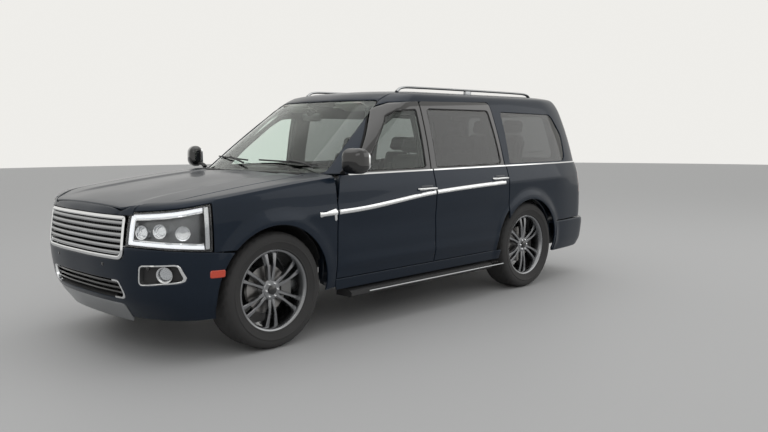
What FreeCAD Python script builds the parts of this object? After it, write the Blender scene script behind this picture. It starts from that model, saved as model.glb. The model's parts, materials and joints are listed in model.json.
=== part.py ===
# Full-size three-row sport utility vehicle.
# Millimetres. +X is the vehicle's left, -Y its front, +Z up; the floor it stands on is z = 0.
import FreeCAD, Part
import Sketcher
import math
import os

Vector = FreeCAD.Vector
Rotation = FreeCAD.Rotation
Placement = FreeCAD.Placement

doc = FreeCAD.newDocument("sport_utility_vehicle")

# Driving dimensions: alias, value
SIZES = (
    ("body_length", 5306),
    ("body_half", 1014),
    ("front_overhang", 970),
    ("wheelbase", 3075),
    ("track_half", 855),
    ("tyre_radius", 417),
    ("tyre_wide", 275),
    ("rim_radius", 279.5),
    ("rim_wide", 228),
    ("belt_z", 1200),
    ("roof_z", 1885),
    ("door_low_z", 425),
    ("under_z", 250),
    ("sill_low_z", 330),
    ("cowl_pin_y", -1192),
    ("cowl_pin_z", 1172),
    ("wall", 77.5),
    ("door_wall", 70),
    ("ring_outer", 78),
    ("ring_inner", 130),
    ("glass_wall", 5),
    ("glass_sunk", 8),
    ("seam", 0.4),
    ("gap", 5),
    ("door_gap", 9),
    ("hinge_inset", 20),
    ("hinge_bevel", 20),
    ("pin_radius", 4),
    ("pin_clearance", 0.05),
    ("front_pivot_y", -1085),
    ("rear_pivot_y", 30),
    ("door_rear_y", 1060),
    ("arch_radius", 468),
    ("rear_arch_radius", 455),
    ("liner_radius", 485),
    ("liner_wall", 8),
    ("kingpin_x", 755),
    ("kingpin_radius", 14),
    ("spindle_radius", 24),
    ("hood_half", 800),
    ("hood_rear_y", -1262),
    ("hood_wall", 35),
    ("gate_half", 790),
    ("gate_pivot_y", 2215),
    ("gate_pivot_z", 1838),
    ("gate_low_z", 640),
    ("rail_half", 370),
    ("rail_wide", 80),
    ("rail_high", 120),
    ("floor_z", 590),
    ("floor_wall", 30),
    ("load_floor_z", 760),
    ("seat_wide", 540),
    ("mirror_reach", 150),
    ("grille_half", 570),
    ("grille_bars", 6),
    ("spoke_pairs", 6),
)

# Places worked out on the sheet: alias, formula
DERIVED = (
    ("front_axle_y", "-body_length / 2 + front_overhang"),
    ("rear_axle_y", "-body_length / 2 + front_overhang + wheelbase"),
)

sheet = doc.addObject("Spreadsheet::Sheet", "sizes")
for row, (alias, value) in enumerate(SIZES, 1):
    sheet.set("A%d" % row, alias)
    sheet.set("B%d" % row, str(value))
    sheet.setAlias("B%d" % row, alias)
for row, (alias, formula) in enumerate(DERIVED, len(SIZES) + 1):
    sheet.set("A%d" % row, alias)
    sheet.set("B%d" % row, "=" + formula)
    sheet.setAlias("B%d" % row, alias)
doc.recompute()


def size(alias):
    return float(sheet.get(alias))


nose_y = -size("body_length") / 2
tail_y = size("body_length") / 2
front_axle_y = nose_y + size("front_overhang")
rear_axle_y = front_axle_y + size("wheelbase")
axle_z = size("tyre_radius")
body_half = size("body_half")
belt_z = size("belt_z")
roof_z = size("roof_z")
gap = size("gap")
seam = size("seam")
wall = size("wall")

parts = {}


def keep(name, shape):
    """A sub-part whose form comes from lofts and cuts of the body's surface."""
    shape = shape.removeSplitter()
    solids = shape.Solids
    shape = solids[0] if len(solids) == 1 else Part.makeCompound(solids)
    item = doc.addObject("Part::Feature", name)
    item.Shape = shape
    item.Placement = Placement()
    parts[name] = item
    return item


def mirrored(shape):
    return shape.mirror(Vector(0, 0, 0), Vector(1, 0, 0))


def block(x0, x1, y0, y1, z0, z1):
    return Part.makeBox(x1 - x0, y1 - y0, z1 - z0, Vector(x0, y0, z0))


def rod(radius, start, end):
    start, end = Vector(*start), Vector(*end)
    return Part.makeCylinder(radius, (end - start).Length, start, end - start)


def rounded_wire(corners, place):
    """Closed wire of lines and tangent arcs; corners are (a, b, radius)."""
    points = [Vector(a, b, 0) for a, b, radius in corners]
    arcs = []
    for index, (a, b, radius) in enumerate(corners):
        here = points[index]
        back = (points[index - 1] - here).normalize()
        ahead = (points[(index + 1) % len(points)] - here).normalize()
        if radius <= 0:
            arcs.append((here, None, here))
            continue
        half = back.getAngle(ahead) / 2
        room = 0.48 * min((points[index - 1] - here).Length, (points[(index + 1) % len(points)] - here).Length)
        radius = min(radius, room * math.tan(half))
        reach = radius / math.tan(half)
        middle = here + (back + ahead).normalize() * (radius / math.sin(half) - radius)
        arcs.append((here + back * reach, middle, here + ahead * reach))
    edges = []
    for index, (start, middle, end) in enumerate(arcs):
        if middle is not None:
            edges.append(Part.Arc(place(start), place(middle), place(end)).toShape())
        following = arcs[(index + 1) % len(arcs)][0]
        edges.append(Part.LineSegment(place(end), place(following)).toShape())
    return Part.Wire(edges)


def side_prism(corners, x0, x1):
    """Solid whose side view has the corners (y, z, radius)."""
    wire = rounded_wire(corners, lambda p: Vector(x0, p.x, p.y))
    return Part.Face(wire).extrude(Vector(x1 - x0, 0, 0))


def front_prism(corners, y0, y1):
    """Solid whose front view has the corners (x, z, radius)."""
    wire = rounded_wire(corners, lambda p: Vector(p.x, y0, p.y))
    return Part.Face(wire).extrude(Vector(0, y1 - y0, 0))


def plan_prism(corners, z0, z1, lean=0.0):
    """Solid whose plan has the corners (x, y, radius); lean is its move in X per unit of Z."""
    wire = rounded_wire(corners, lambda p: Vector(p.x, p.y, z0))
    return Part.Face(wire).extrude(Vector(lean * (z1 - z0), 0, z1 - z0))


def both_sides(corners):
    """The corners of the +X side, from front to rear, and their mirror image."""
    return corners + [(-x, y, radius) for x, y, radius in reversed(corners)]


# Body surface below the belt: height, half width less than the widest, setback of nose and of tail
LOWER_SECTIONS = (
    (size("under_z"), 62, 150, 150),
    (470, 22, 22, 90),
    (700, 3, 0, 78),
    (900, 0, 22, 84),
    (1080, 8, 68, 105),
    (1275, 62, 150, 160),
)


def lower_outline(height, inset_x, nose_back, tail_back, inset):
    half = body_half - inset_x - inset
    front = nose_y + nose_back + inset
    rear = tail_y - tail_back - inset
    corners = [
        (0.24 * half, front, 3000),
        (0.60 * half, front + 40, 800),
        (0.93 * half, front + 220, 330 - inset),
        (half, front + 690, 2500),
        (half, rear - 560, 2500),
        (0.94 * half, rear - 105, 170 - inset / 2),
        (0.50 * half, rear, 1400),
    ]
    return rounded_wire(both_sides(corners), lambda p: Vector(p.x, p.y, height))


def lower_body(inset):
    wires = [lower_outline(h, x, n, t, inset) for h, x, n, t in LOWER_SECTIONS]
    return Part.makeLoft(wires, True, True)


# Glasshouse surface: height, half width less than the widest, front and rear at the centre line
UPPER_SECTIONS = (
    (belt_z - 10, 57, -1252, 2482),
    (1420, 102, -955, 2436),
    (1640, 160, -660, 2384),
    (1770, 205, -478, 2345),
    (roof_z - 37, 262, -338, 2290),
    (roof_z, 520, -60, 1960),
)


def upper_outline(height, inset_x, front, rear, inset):
    half = body_half - inset_x - inset
    front, rear = front + 1.3 * inset, rear - inset
    corners = [
        (0.30 * half, front, 1200),
        (0.72 * half, front + 75, 500),
        (half, front + 260, 200 - inset),
        (half, rear - 330, 1500),
        (0.93 * half, rear - 70, 120 - inset / 2),
        (0.50 * half, rear, 1400),
    ]
    return rounded_wire(both_sides(corners), lambda p: Vector(p.x, p.y, height))


def upper_body(inset):
    wires = []
    for height, inset_x, front, rear in UPPER_SECTIONS:
        rise = (height - belt_z) / (roof_z - belt_z)
        wires.append(upper_outline(height - inset * max(0, rise) ** 4, inset_x, front, rear, inset))
    return Part.makeLoft(wires, True, True)


# Hood and fender tops: position, height at the centre line, fall to the side
TOP_SECTIONS = (
    (nose_y - 60, 985, 60),
    (nose_y + 130, 1072, 50),
    (-2000, 1152, 45),
    (-1500, 1206, 42),
    (-1050, 1240, 40),
)


def front_top(inset):
    wires = []
    for place_y, centre, fall in TOP_SECTIONS:
        edge = 1100
        crown = Part.Arc(Vector(-edge, place_y, centre - fall - inset),
                         Vector(0, place_y, centre - inset),
                         Vector(edge, place_y, centre - fall - inset)).toShape()
        low = [Vector(edge, place_y, centre - fall - inset), Vector(edge, place_y, 0),
               Vector(-edge, place_y, 0), Vector(-edge, place_y, centre - fall - inset)]
        wires.append(Part.Wire([crown] + [Part.LineSegment(a, b).toShape() for a, b in zip(low, low[1:])]))
    return Part.makeLoft(wires, True, True)


lower_out = lower_body(0)
lower_wall = lower_body(wall)
lower_door = lower_body(size("door_wall"))
lower_ring = lower_body(size("ring_outer"))
lower_cabin = lower_body(size("ring_inner"))
lower_inside = lower_body(size("ring_inner") + seam)
upper_out = upper_body(0)
upper_door = upper_body(50)
upper_ring = upper_body(55)
upper_cabin = upper_body(90)

far = body_half + 200
long_y = tail_y + 300

# Doors: each hangs on a vertical pin close under the widest line of the side
pivot_x = body_half - size("hinge_inset")
inset_h = size("hinge_inset")
bevel = math.tan(math.radians(size("hinge_bevel")))
edge_gap = ((inset_h + size("door_gap")) / math.cos(math.radians(size("hinge_bevel")))
            - inset_h * bevel)
lean = -148.0 / 570.0


def edge_plan(pivot_y, next_y, outer_x, open_gap=0.0):
    """Plan of a door: front edge round its pin, rear edge bevelled towards the next pin."""
    r = inset_h
    inner = 350
    px = outer_x - r
    front = [
        (far, pivot_y - open_gap, 0),
        (px + r, pivot_y - open_gap, 0),
        (px + 0.71 * r, pivot_y - 0.71 * r - open_gap, 0),
        (px, pivot_y - r - open_gap, 0),
        (inner, pivot_y - r - open_gap, 0),
    ]
    rear = [
        (inner, next_y - edge_gap - (px + r - inner) * bevel + open_gap, 0),
        (px + r, next_y - edge_gap + open_gap, 0),
        (far, next_y - edge_gap + open_gap, 0),
    ]
    return front + rear


upper_belt_x = body_half - 57

# Side view of each door's window frame and of the panes: (y, z, radius)
front_frame = [(size("front_pivot_y") - 40, belt_z, 0), (-925, belt_z, 0), (-425, 1722, 60),
               (-290, 1768, 60), (200, 1800, 0), (200, belt_z, 0)]
rear_frame = [(-200, belt_z, 0), (-200, 1795, 0), (1200, 1795, 0), (1200, belt_z, 0)]
front_pane = [(-800, belt_z + 22, 15), (-405, 1660, 60), (-300, 1702, 60), (-58, 1716, 25),
              (-58, belt_z + 22, 25)]
rear_pane = [(75, belt_z + 22, 25), (75, 1722, 25), (935, 1718, 40), (1000, belt_z + 22, 40)]
quarter_pane = [(1135, belt_z + 22, 30), (1130, 1708, 30), (1985, 1692, 110), (2120, 1480, 110),
                (2110, belt_z + 22, 90)]


def pillar_side(step):
    """Everything outboard of the windshield pillar, less step."""
    return front_prism([(872 + step, belt_z - 10, 0), (718 + step, 1800, 0), (600, 1950, 0), (far, 1950, 0),
                        (far, belt_z - 10, 0)], -1500, 2600)


def grown(corners, step):
    """The same outline moved out by step on every side."""
    centre_y = sum(c[0] for c in corners) / len(corners)
    centre_z = sum(c[1] for c in corners) / len(corners)
    return [(y + (step if y > centre_y else -step), z + (step if z > centre_z else -step), r)
            for y, z, r in corners]


def rear_arch(radius, x0, x1):
    return rod(radius, (x0, rear_axle_y, axle_z), (x1, rear_axle_y, axle_z))


def front_arch(radius, x0, x1):
    return rod(radius, (x0, front_axle_y, axle_z), (x1, front_axle_y, axle_z))


def hinge(pivot_y, low_z):
    """A pin between two arms on the pillar, and the door's eye round it."""
    r = size("pin_radius")
    eye_r = 8
    arm = block(body_half - 110, pivot_x, pivot_y - 6, pivot_y + 6, low_z, low_z + 10)
    arm_end = rod(7, (pivot_x, pivot_y, low_z), (pivot_x, pivot_y, low_z + 10))
    leaf = arm.fuse(arm_end)
    upper_leaf = leaf.translated(Vector(0, 0, 40))
    pin = rod(r, (pivot_x, pivot_y, low_z), (pivot_x, pivot_y, low_z + 50))
    fixed = leaf.fuse([upper_leaf, pin])
    eye = rod(eye_r, (pivot_x, pivot_y, low_z + 11), (pivot_x, pivot_y, low_z + 39))
    lug = block(pivot_x - 4, pivot_x + 8, pivot_y, pivot_y + 70, low_z + 11, low_z + 39)
    bore = rod(r + size("pin_clearance"), (pivot_x, pivot_y, low_z), (pivot_x, pivot_y, low_z + 50))
    moving = eye.fuse(lug).cut(bore)
    pocket = block(body_half - 200, pivot_x + 8.6, pivot_y - 60, pivot_y + 60, low_z - 8, low_z + 58)
    return fixed, moving, pocket


def door(pivot_y, next_y, frame, pane, trim):
    """Door with its window frame in one piece, and the body hinge pieces."""
    low = lower_out.cut(lower_door).common(block(400, far, -1400, 1500, size("door_low_z"), belt_z))
    low = low.common(plan_prism(edge_plan(pivot_y, next_y, body_half), size("door_low_z"), belt_z))
    up = upper_out.cut(upper_door).common(side_prism(frame, 500, far).common(pillar_side(0)))
    plan = edge_plan(pivot_y, next_y, upper_belt_x)
    up = up.common(plan_prism(plan, belt_z, roof_z, lean))
    up = up.cut(side_prism(pane, 400, far))
    panel = low.fuse(up)
    for cutter in trim:
        panel = panel.cut(cutter)
    fixed = []
    for low_z in (655, 985):
        body_piece, door_piece, pocket = hinge(pivot_y, low_z)
        panel = panel.cut(pocket).fuse(door_piece)
        fixed.append(body_piece)
    return panel, fixed


rear_sweep = [rear_arch(size("rear_arch_radius") + 60, 400, far)]
front_door, front_hinges = door(size("front_pivot_y"), size("rear_pivot_y"), front_frame, front_pane, [])
rear_door, rear_hinges = door(size("rear_pivot_y"), size("door_rear_y"), rear_frame, rear_pane, rear_sweep)

pane_lofts = upper_body(size("glass_sunk")).cut(upper_body(size("glass_sunk") + size("glass_wall")))


def pane_solid(pane):
    return pane_lofts.common(side_prism(grown(pane, -seam), 400, far))


# Body side: pillars, sill, cantrail and rear quarter, with the door holes
side_low = lower_out.cut(lower_cabin).common(
    block(0, far, size("front_pivot_y") - 140, long_y, size("sill_low_z"), belt_z))
side_up = upper_out.cut(upper_cabin).common(block(0, far, -1400, long_y, belt_z, roof_z + 50))

door_zone_low = block(400, far, size("front_pivot_y") - inset_h - gap, size("door_rear_y") - edge_gap + gap,
                      300 - 5, belt_z + 1)
rear_zone_keep = rear_arch(size("rear_arch_radius") + 60 - gap, 400, far)
ahead_zone = block(400, far, -1400, size("front_pivot_y"), 0, belt_z + 1)
sill_outer = block(400, far, -1400, 1500, 0, size("door_low_z") - gap)
door_zone_low = door_zone_low.cut([rear_zone_keep, sill_outer])
side_low = side_low.cut(door_zone_low.cut(lower_ring)).cut(ahead_zone.cut(lower_ring))
side_low = side_low.cut(block(0, 770, 0, long_y, 0, belt_z + 1).common(
    block(0, far, 2300, long_y, 0, belt_z + 1)))
side_low = side_low.cut(block(0, 700, -1400, 2300, 0, belt_z + 1))

front_hole_low = side_prism([(-985, 620, 60), (-985, belt_z + 1, 0), (-60, belt_z + 1, 0), (-60, 620, 60)],
                            400, far)
rear_hole_low = side_prism([(110, 620, 60), (110, belt_z + 1, 0), (935, belt_z + 1, 0), (935, 1010, 200),
                            (700, 620, 160)], 400, far)
side_low = side_low.cut([front_hole_low, rear_hole_low, rear_arch(size("rear_arch_radius"), 400, far)])

# Above the belt the doors' frames lie in front of the pillars, within the cut below
door_frames = side_prism([(-960, belt_z - 1, 0), (-437, 1736, 60), (-290, 1774, 60), (-20, 1801, 0),
                          (1200, 1801, 0), (1200, belt_z - 1, 0)], 400, far)
door_frames = door_frames.common(pillar_side(-gap)).common(
    plan_prism([(far, -1500, 0), (far, size("door_rear_y") - edge_gap + gap, 0),
                (350, size("door_rear_y") - edge_gap + gap, 0), (350, -1500, 0)], belt_z - 1, roof_z))
corner_flat = block(400, far, -1125, -900, belt_z - 1, belt_z + gap)
side_up = side_up.cut([door_frames.cut(upper_ring), corner_flat.cut(upper_ring)])
hole_up_front = side_prism([(-830, belt_z - 1, 0), (-420, 1640, 60), (-310, 1672, 60), (-60, 1684, 30),
                            (-60, belt_z - 1, 0)], 400, far)
hole_up_rear = side_prism([(110, belt_z - 1, 0), (110, 1688, 30), (905, 1686, 40), (935, belt_z - 1, 0)],
                          400, far)
side_up = side_up.cut([hole_up_front, hole_up_rear, side_prism(quarter_pane, 400, far)])

# Windshield and tailgate openings, and the parting of the roof from the sides
shield = [(795, belt_z + 15, 0), (795, 1262, 0), (648, 1792, 70)]
shield_corners = [(-x, z, r) for x, z, r in shield] + [(x, z, r) for x, z, r in reversed(shield)]
shield_hole = front_prism(shield_corners, -1500, -150)
cowl_zone = block(-795, 795, -1500, -900, 1100, belt_z + 16)
roof_half = 640
gate_half = size("gate_half")
gate_low_z = size("gate_low_z")
gate_top_half = roof_half - 20


def gate_view(step, side_step):
    """Rear view of the tailgate, grown by step, and by side_step beside the rear window."""
    right = [(gate_half + step, gate_low_z - step, 40), (gate_half + step, 1180, 60),
             (gate_top_half + side_step, 1730, 40), (gate_top_half + side_step, 2000, 0)]
    return [(-x, z, r) for x, z, r in right] + [(x, z, r) for x, z, r in reversed(right)]


gate_hole = front_prism(gate_view(gap, 14), 2190, long_y)
side_up = side_up.cut([shield_hole, cowl_zone, gate_hole])
side_up = side_up.cut(block(0, roof_half + seam, -1400, long_y, 1700, roof_z + 50))

# Tail lamps let into the rear corners, and the space over the rear bumper
lamp_zone = block(500, far, 2350, long_y, 880, belt_z - 12)
lower_lamp = lower_body(60)
lower_lamp_seat = lower_body(60 + seam)
tail_lamp = lower_out.cut(lower_lamp).common(lamp_zone).cut(gate_hole.fuse(block(0, 800, 2000, long_y, 0, 2000)))
bumper_front_y = rear_axle_y + size("rear_arch_radius") + 25
bumper_top_z = gate_low_z - 20
side_low = side_low.cut([
    block(500, far, 2350 - seam, long_y, 880 - seam, belt_z - 12 + seam).cut(lower_lamp_seat),
    block(0, far, bumper_front_y - seam, long_y, 0, bumper_top_z + seam),
    gate_hole])

side = side_low.fuse(side_up)
side = side.fuse(front_hinges + rear_hinges)
keep("side_frame_left", side)
keep("side_frame_right", mirrored(side))
keep("tail_lamps", Part.makeCompound([tail_lamp, mirrored(tail_lamp)]))

keep("front_door_left", front_door)
keep("front_door_right", mirrored(front_door))
keep("rear_door_left", rear_door)
keep("rear_door_right", mirrored(rear_door))
for name, pane in (("front_door_glass", front_pane), ("rear_door_glass", rear_pane)):
    glass = pane_solid(pane)
    keep(name + "_left", glass)
    keep(name + "_right", mirrored(glass))
quarter_glass = pane_solid(quarter_pane)
keep("quarter_glass", Part.makeCompound([quarter_glass, mirrored(quarter_glass)]))
keep("windshield", pane_lofts.common(front_prism(grown(shield_corners, -2 * seam), -1500, -150)))

# Tailgate, hung under the rear edge of the roof
gate_y = size("gate_pivot_y")
gate_z = size("gate_pivot_z")
r = inset_h
gate_edge = [(gate_y, 2100, 0), (gate_y, gate_z + r, 0), (gate_y - 0.71 * r, gate_z + 0.71 * r, 0),
             (gate_y - r, gate_z, 0), (gate_y - r, gate_low_z, 0), (long_y, gate_low_z, 0), (long_y, 2100, 0)]
roof_edge = [(-1400, 2100, 0), (-1400, 1700, 0), (gate_y - edge_gap - (gate_z + r - 1700) * bevel, 1700, 0),
             (gate_y - edge_gap, gate_z + r, 0), (gate_y - edge_gap + 100 * bevel, gate_z + r + 100, 0)]
gate_pane = [(-600, 1240, 60), (-520, 1690, 70), (520, 1690, 70), (600, 1240, 60)]
gate_pane_wide = front_prism(gate_pane, 2100, long_y)
gate_pane_cut = front_prism(grown(gate_pane, -seam), 2100, long_y)
gate_side = side_prism(gate_edge, -far, far)
gate_low = lower_out.cut(lower_lamp).common(block(-far, far, 2300, long_y, gate_low_z, belt_z))
gate_up = upper_out.cut(upper_body(60)).common(block(-far, far, 1900, long_y, belt_z, 2000))
gate = gate_low.fuse(gate_up.common(gate_side)).common(front_prism(gate_view(0, 0), 1900, long_y))
gate = gate.cut(gate_pane_wide)
keep("tailgate_glass", pane_lofts.common(gate_pane_cut))

roof = upper_out.cut(upper_door).common(side_prism(roof_edge, -roof_half, roof_half))
roof = roof.cut(shield_hole)
header = block(-560, 560, gate_y - 150, gate_y - 50, gate_z - 115, gate_z - 20)
roof = roof.fuse(header)
hinge_x = 480
for sign in (-1, 1):
    eye_low = sign * hinge_x - 14
    pin = rod(size("pin_radius"), (eye_low - 11, gate_y, gate_z), (eye_low + 39, gate_y, gate_z))
    bore = rod(size("pin_radius") + size("pin_clearance"), (eye_low - 20, gate_y, gate_z),
               (eye_low + 50, gate_y, gate_z))
    arms = [block(eye_low - 11 + move, eye_low - 1 + move, gate_y - 6, gate_y + 6, gate_z - 60, gate_z + 4)
            for move in (0, 40)]
    eye = rod(8, (eye_low, gate_y, gate_z), (eye_low + 28, gate_y, gate_z))
    lug = block(eye_low, eye_low + 28, gate_y, gate_y + 70, gate_z - 4, gate_z + 8)
    pocket = block(eye_low - 19, eye_low + 47, gate_y - 60, gate_y + 60, gate_z - 200, gate_z + 8.6)
    gate = gate.cut(pocket).fuse(eye.fuse(lug).cut(bore))
    foot = block(eye_low - 11, eye_low + 39, gate_y - 80, gate_y + 6, gate_z - 80, gate_z - 52)
    roof = roof.fuse(arms + [pin, foot])
keep("tailgate", gate)
keep("roof", roof)

# Front end: one shell, parted into fenders, hood, grille, lamps and bumper
nose = lower_out.common(front_top(0))
nose_inner = lower_wall.common(front_top(wall))
front_shell = nose.cut(nose_inner)
front_shell = front_shell.common(block(-far, far, -3000, size("front_pivot_y"), 0, belt_z - seam))
hood_half = size("hood_half")
hood_rear_y = size("hood_rear_y")


def hood_plan(step):
    right = [(520 + step, nose_y + 82 - step, 120), (hood_half + step, nose_y + 330 - step, 160),
             (hood_half + step, hood_rear_y + step, 0)]
    return right + [(-x, y, radius) for x, y, radius in reversed(right)]


hood_space = plan_prism(hood_plan(gap), 0, 1400).cut(front_top(size("hood_wall") + gap))
hood = nose.cut(front_top(size("hood_wall"))).common(plan_prism(hood_plan(0), 0, 1400))
pin_y = size("cowl_pin_y")
pin_z = size("cowl_pin_z")
arm_x = 705
hood_arms = []
cowl_pins = []
for sign in (-1, 1):
    ends = sorted((sign * arm_x, sign * (arm_x + 30)))
    arm = block(ends[0], ends[1], hood_rear_y - 90, pin_y, pin_z - 12, pin_z + 12)
    web = block(ends[0], ends[1], hood_rear_y - 90, hood_rear_y - 20, pin_z - 12, 1300).common(
        front_top(size("hood_wall") - 5))
    eye = rod(14, (ends[0], pin_y, pin_z), (ends[1], pin_y, pin_z))
    bore = rod(8 + size("pin_clearance"), (ends[0] - 1, pin_y, pin_z), (ends[1] + 1, pin_y, pin_z))
    hood_arms.append(arm.fuse([web, eye]).cut(bore))
    cowl_pins.append(rod(8, (sign * 685, pin_y, pin_z), (sign * (arm_x + 40), pin_y, pin_z)))
keep("hood", hood.fuse(hood_arms))

cowl = side_prism([(hood_rear_y + 7, 1090, 0), (hood_rear_y + 7, 1180, 0), (-1221, 1186, 0),
                   (-1213, belt_z + 15 - seam, 0), (-1140 - seam, belt_z + 15 - seam, 0),
                   (-1140 - seam, 1090, 0)], -688, 688)
keep("cowl", cowl.fuse(cowl_pins))

front_arches = front_arch(size("arch_radius"), -far, far)
fender_rear_y = size("front_pivot_y")
fender_edge = [(far, fender_rear_y - edge_gap, 0), (body_half, fender_rear_y - edge_gap, 0),
               (350, fender_rear_y - edge_gap - (body_half - 350) * bevel * 0.25, 0), (350, -3000, 0),
               (far, -3000, 0)]
split_y = -2175
bumper_z = 745
lamp_half = size("grille_half") + 10
fender = front_shell.common(plan_prism(fender_edge, 0, 1400)).common(
    block(765, far, -3000, 0, size("sill_low_z"), belt_z - seam))
front_block = block(0, far, -3000, split_y, 0, 1062)
pillar_room = lower_ring.common(block(0, far, fender_rear_y - 140 - seam, 0, 0, 1400))
behind_hood = block(0, hood_half + gap, hood_rear_y - 1, 0, 1000, 1400)
fender = fender.cut([front_block, front_arches, hood_space, pillar_room, behind_hood])
keep("fenders", Part.makeCompound([fender, mirrored(fender)]))

lamp = front_shell.common(block(lamp_half, far, -3000, split_y - seam, bumper_z + seam, 1062 - seam))
lamp = lamp.cut(hood_space)
keep("headlamps", Part.makeCompound([lamp, mirrored(lamp)]))

grille_half = size("grille_half")
grille_low_z = 700
grille_zone = front_prism([(-grille_half, grille_low_z, 50), (-grille_half, 1100, 0), (grille_half, 1100, 0),
                           (grille_half, grille_low_z, 50)], -3000, split_y)
grille = front_shell.common(grille_zone).cut(hood_space)
bars = int(size("grille_bars"))
slot_top = 985
slot_low = grille_low_z + 35
pitch = (slot_top - slot_low) / bars
slots = [block(-grille_half + 35, grille_half - 35, -3000, split_y, slot_low + pitch * i + 8,
               slot_low + pitch * (i + 1) - 8) for i in range(bars)]
grille = grille.cut(slots)
keep("grille", grille)

bumper_zone = block(-far, far, -3000, split_y, 0, bumper_z)
intake = front_prism([(-560, 430, 50), (-500, 560, 40), (500, 560, 40), (560, 430, 50)], -3000, split_y)
wide_grille = front_prism([(-lamp_half, grille_low_z - seam, 50), (-lamp_half, 1100, 0),
                           (lamp_half, 1100, 0), (lamp_half, grille_low_z - seam, 50)], -3000, split_y)
front_bumper = front_shell.common(bumper_zone).cut([intake, wide_grille, front_arches])
keep("front_bumper", front_bumper)

BUMPER_SECTIONS = (
    (300, 50, 0, 75),
    (400, 31, 0, 8),
    (560, 14, 0, 0),
    (bumper_top_z, 9, 0, 22),
)


def bumper_body(inset):
    wires = [lower_outline(h, x, n, t, inset) for h, x, n, t in BUMPER_SECTIONS]
    return Part.makeLoft(wires, True, True)


rear_bumper = bumper_body(0).cut(bumper_body(150)).common(
    block(-far, far, bumper_front_y, long_y, 0, bumper_top_z))
keep("rear_bumper", rear_bumper)


def bind(item, **formulas):
    """Ties properties to the sheet; a double underscore stands for a dot."""
    for name, formula in formulas.items():
        item.setExpression(name.replace("__", "."), formula)


def sized_box(name, x, y, z):
    """Box between low and high formulas on each axis."""
    item = doc.addObject("Part::Box", name)
    for side, axis, (low, high) in (("Length", "x", x), ("Width", "y", y), ("Height", "z", z)):
        item.setExpression(side, "(%s) - (%s)" % (high, low))
        item.setExpression("Placement.Base." + axis, low)
    return item


TURNS = {"x": Rotation(Vector(0, 0, 1), Vector(1, 0, 0)), "y": Rotation(Vector(0, 0, 1), Vector(0, 1, 0)),
         "z": Rotation()}


def sized_rod(name, along, radius, length, x, y, z):
    """Cylinder along an axis, from the point with the formulas x, y, z."""
    item = doc.addObject("Part::Cylinder", name)
    item.Placement = Placement(Vector(), TURNS[along])
    bind(item, Radius=radius, Height=length, Placement__Base__x=x, Placement__Base__y=y, Placement__Base__z=z)
    return item


def joined(name, items):
    item = doc.addObject("Part::MultiFuse", name)
    item.Shapes = items
    return item


def less(name, base, tool):
    item = doc.addObject("Part::Cut", name)
    item.Base, item.Tool = base, tool
    return item


def reflected(name, source):
    item = doc.addObject("Part::Mirroring", name)
    item.Source = source
    item.Normal = Vector(1, 0, 0)
    return item


def together(name, items):
    item = doc.addObject("Part::Compound", name)
    item.Links = items
    return item


def origin_plane(body, role):
    return [f for f in body.Origin.OriginFeatures if f.Role == role][0]


def outline(body, name, role, loops, offset=None):
    """Sketch of closed loops whose corners are pairs of formulas."""
    item = body.newObject("Sketcher::SketchObject", name)
    item.AttachmentSupport = (origin_plane(body, role), [""])
    item.MapMode = "FlatFace"
    if offset:
        item.setExpression("AttachmentOffset.Base.z", offset)
    for corners in loops:
        first = item.GeometryCount
        points = [Vector(sheet.evalExpression(a), sheet.evalExpression(b), 0) for a, b in corners]
        for index, point in enumerate(points):
            following = points[(index + 1) % len(points)]
            item.addGeometry(Part.LineSegment(point, following))
        for index, (a, b) in enumerate(corners):
            line = first + index
            following = first + (index + 1) % len(corners)
            item.addConstraint(Sketcher.Constraint("Coincident", line, 2, following, 1))
            across = item.addConstraint(Sketcher.Constraint("DistanceX", -1, 1, line, 1, points[index].x))
            item.setExpression("Constraints[%d]" % across, a)
            up = item.addConstraint(Sketcher.Constraint("DistanceY", -1, 1, line, 1, points[index].y))
            item.setExpression("Constraints[%d]" % up, b)
    return item


def formulas(points, x="", y=""):
    """Plain corner numbers as formulas, with a formula added to each axis."""
    return [("%s%+g" % (x, a), "%s%+g" % (y, b)) for a, b in points]


def turned(body, name, corners):
    """Revolution about the X axis of a loop of (x, radius) corners."""
    item = body.newObject("PartDesign::Revolution", name)
    item.Profile = (outline(body, name + "_outline", "XZ_Plane", [corners]), [""])
    item.ReferenceAxis = (item.Profile[0], ["H_Axis"])
    item.Angle = 360
    return item


def padded(body, name, role, loops, length, offset=None):
    item = body.newObject("PartDesign::Pad", name)
    item.Profile = (outline(body, name + "_outline", role, loops, offset), [""])
    bind(item, Length=length)
    return item


def side_pad(name, corners, half):
    """Body whose side view has the corners (y, z), as formulas, spanning x from -half to half."""
    body = doc.addObject("PartDesign::Body", name)
    padded(body, name + "_pad", "YZ_Plane", [corners], "2 * (%s)" % half, "-(%s)" % half)
    return body


# Road wheels, made at the origin: x = 0 at the tyre's middle plane, +X outwards
tyre = doc.addObject("PartDesign::Body", "tyre_master")
R = "sizes.tyre_radius"
B = "sizes.rim_radius"
turned(tyre, "tyre_ring", [
    ("-104", B + " + 0.4"), ("-104", B + " + 14"), ("-sizes.tyre_wide / 2", B + " + 62"),
    ("-sizes.tyre_wide / 2 + 4", B + " + 100"), ("-sizes.tyre_wide / 2 + 24", R + " - 8"),
    ("-sizes.tyre_wide / 2 + 50", R), ("sizes.tyre_wide / 2 - 50", R),
    ("sizes.tyre_wide / 2 - 24", R + " - 8"), ("sizes.tyre_wide / 2 - 4", B + " + 100"),
    ("sizes.tyre_wide / 2", B + " + 62"), ("104", B + " + 14"), ("104", B + " + 0.4")])

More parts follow.
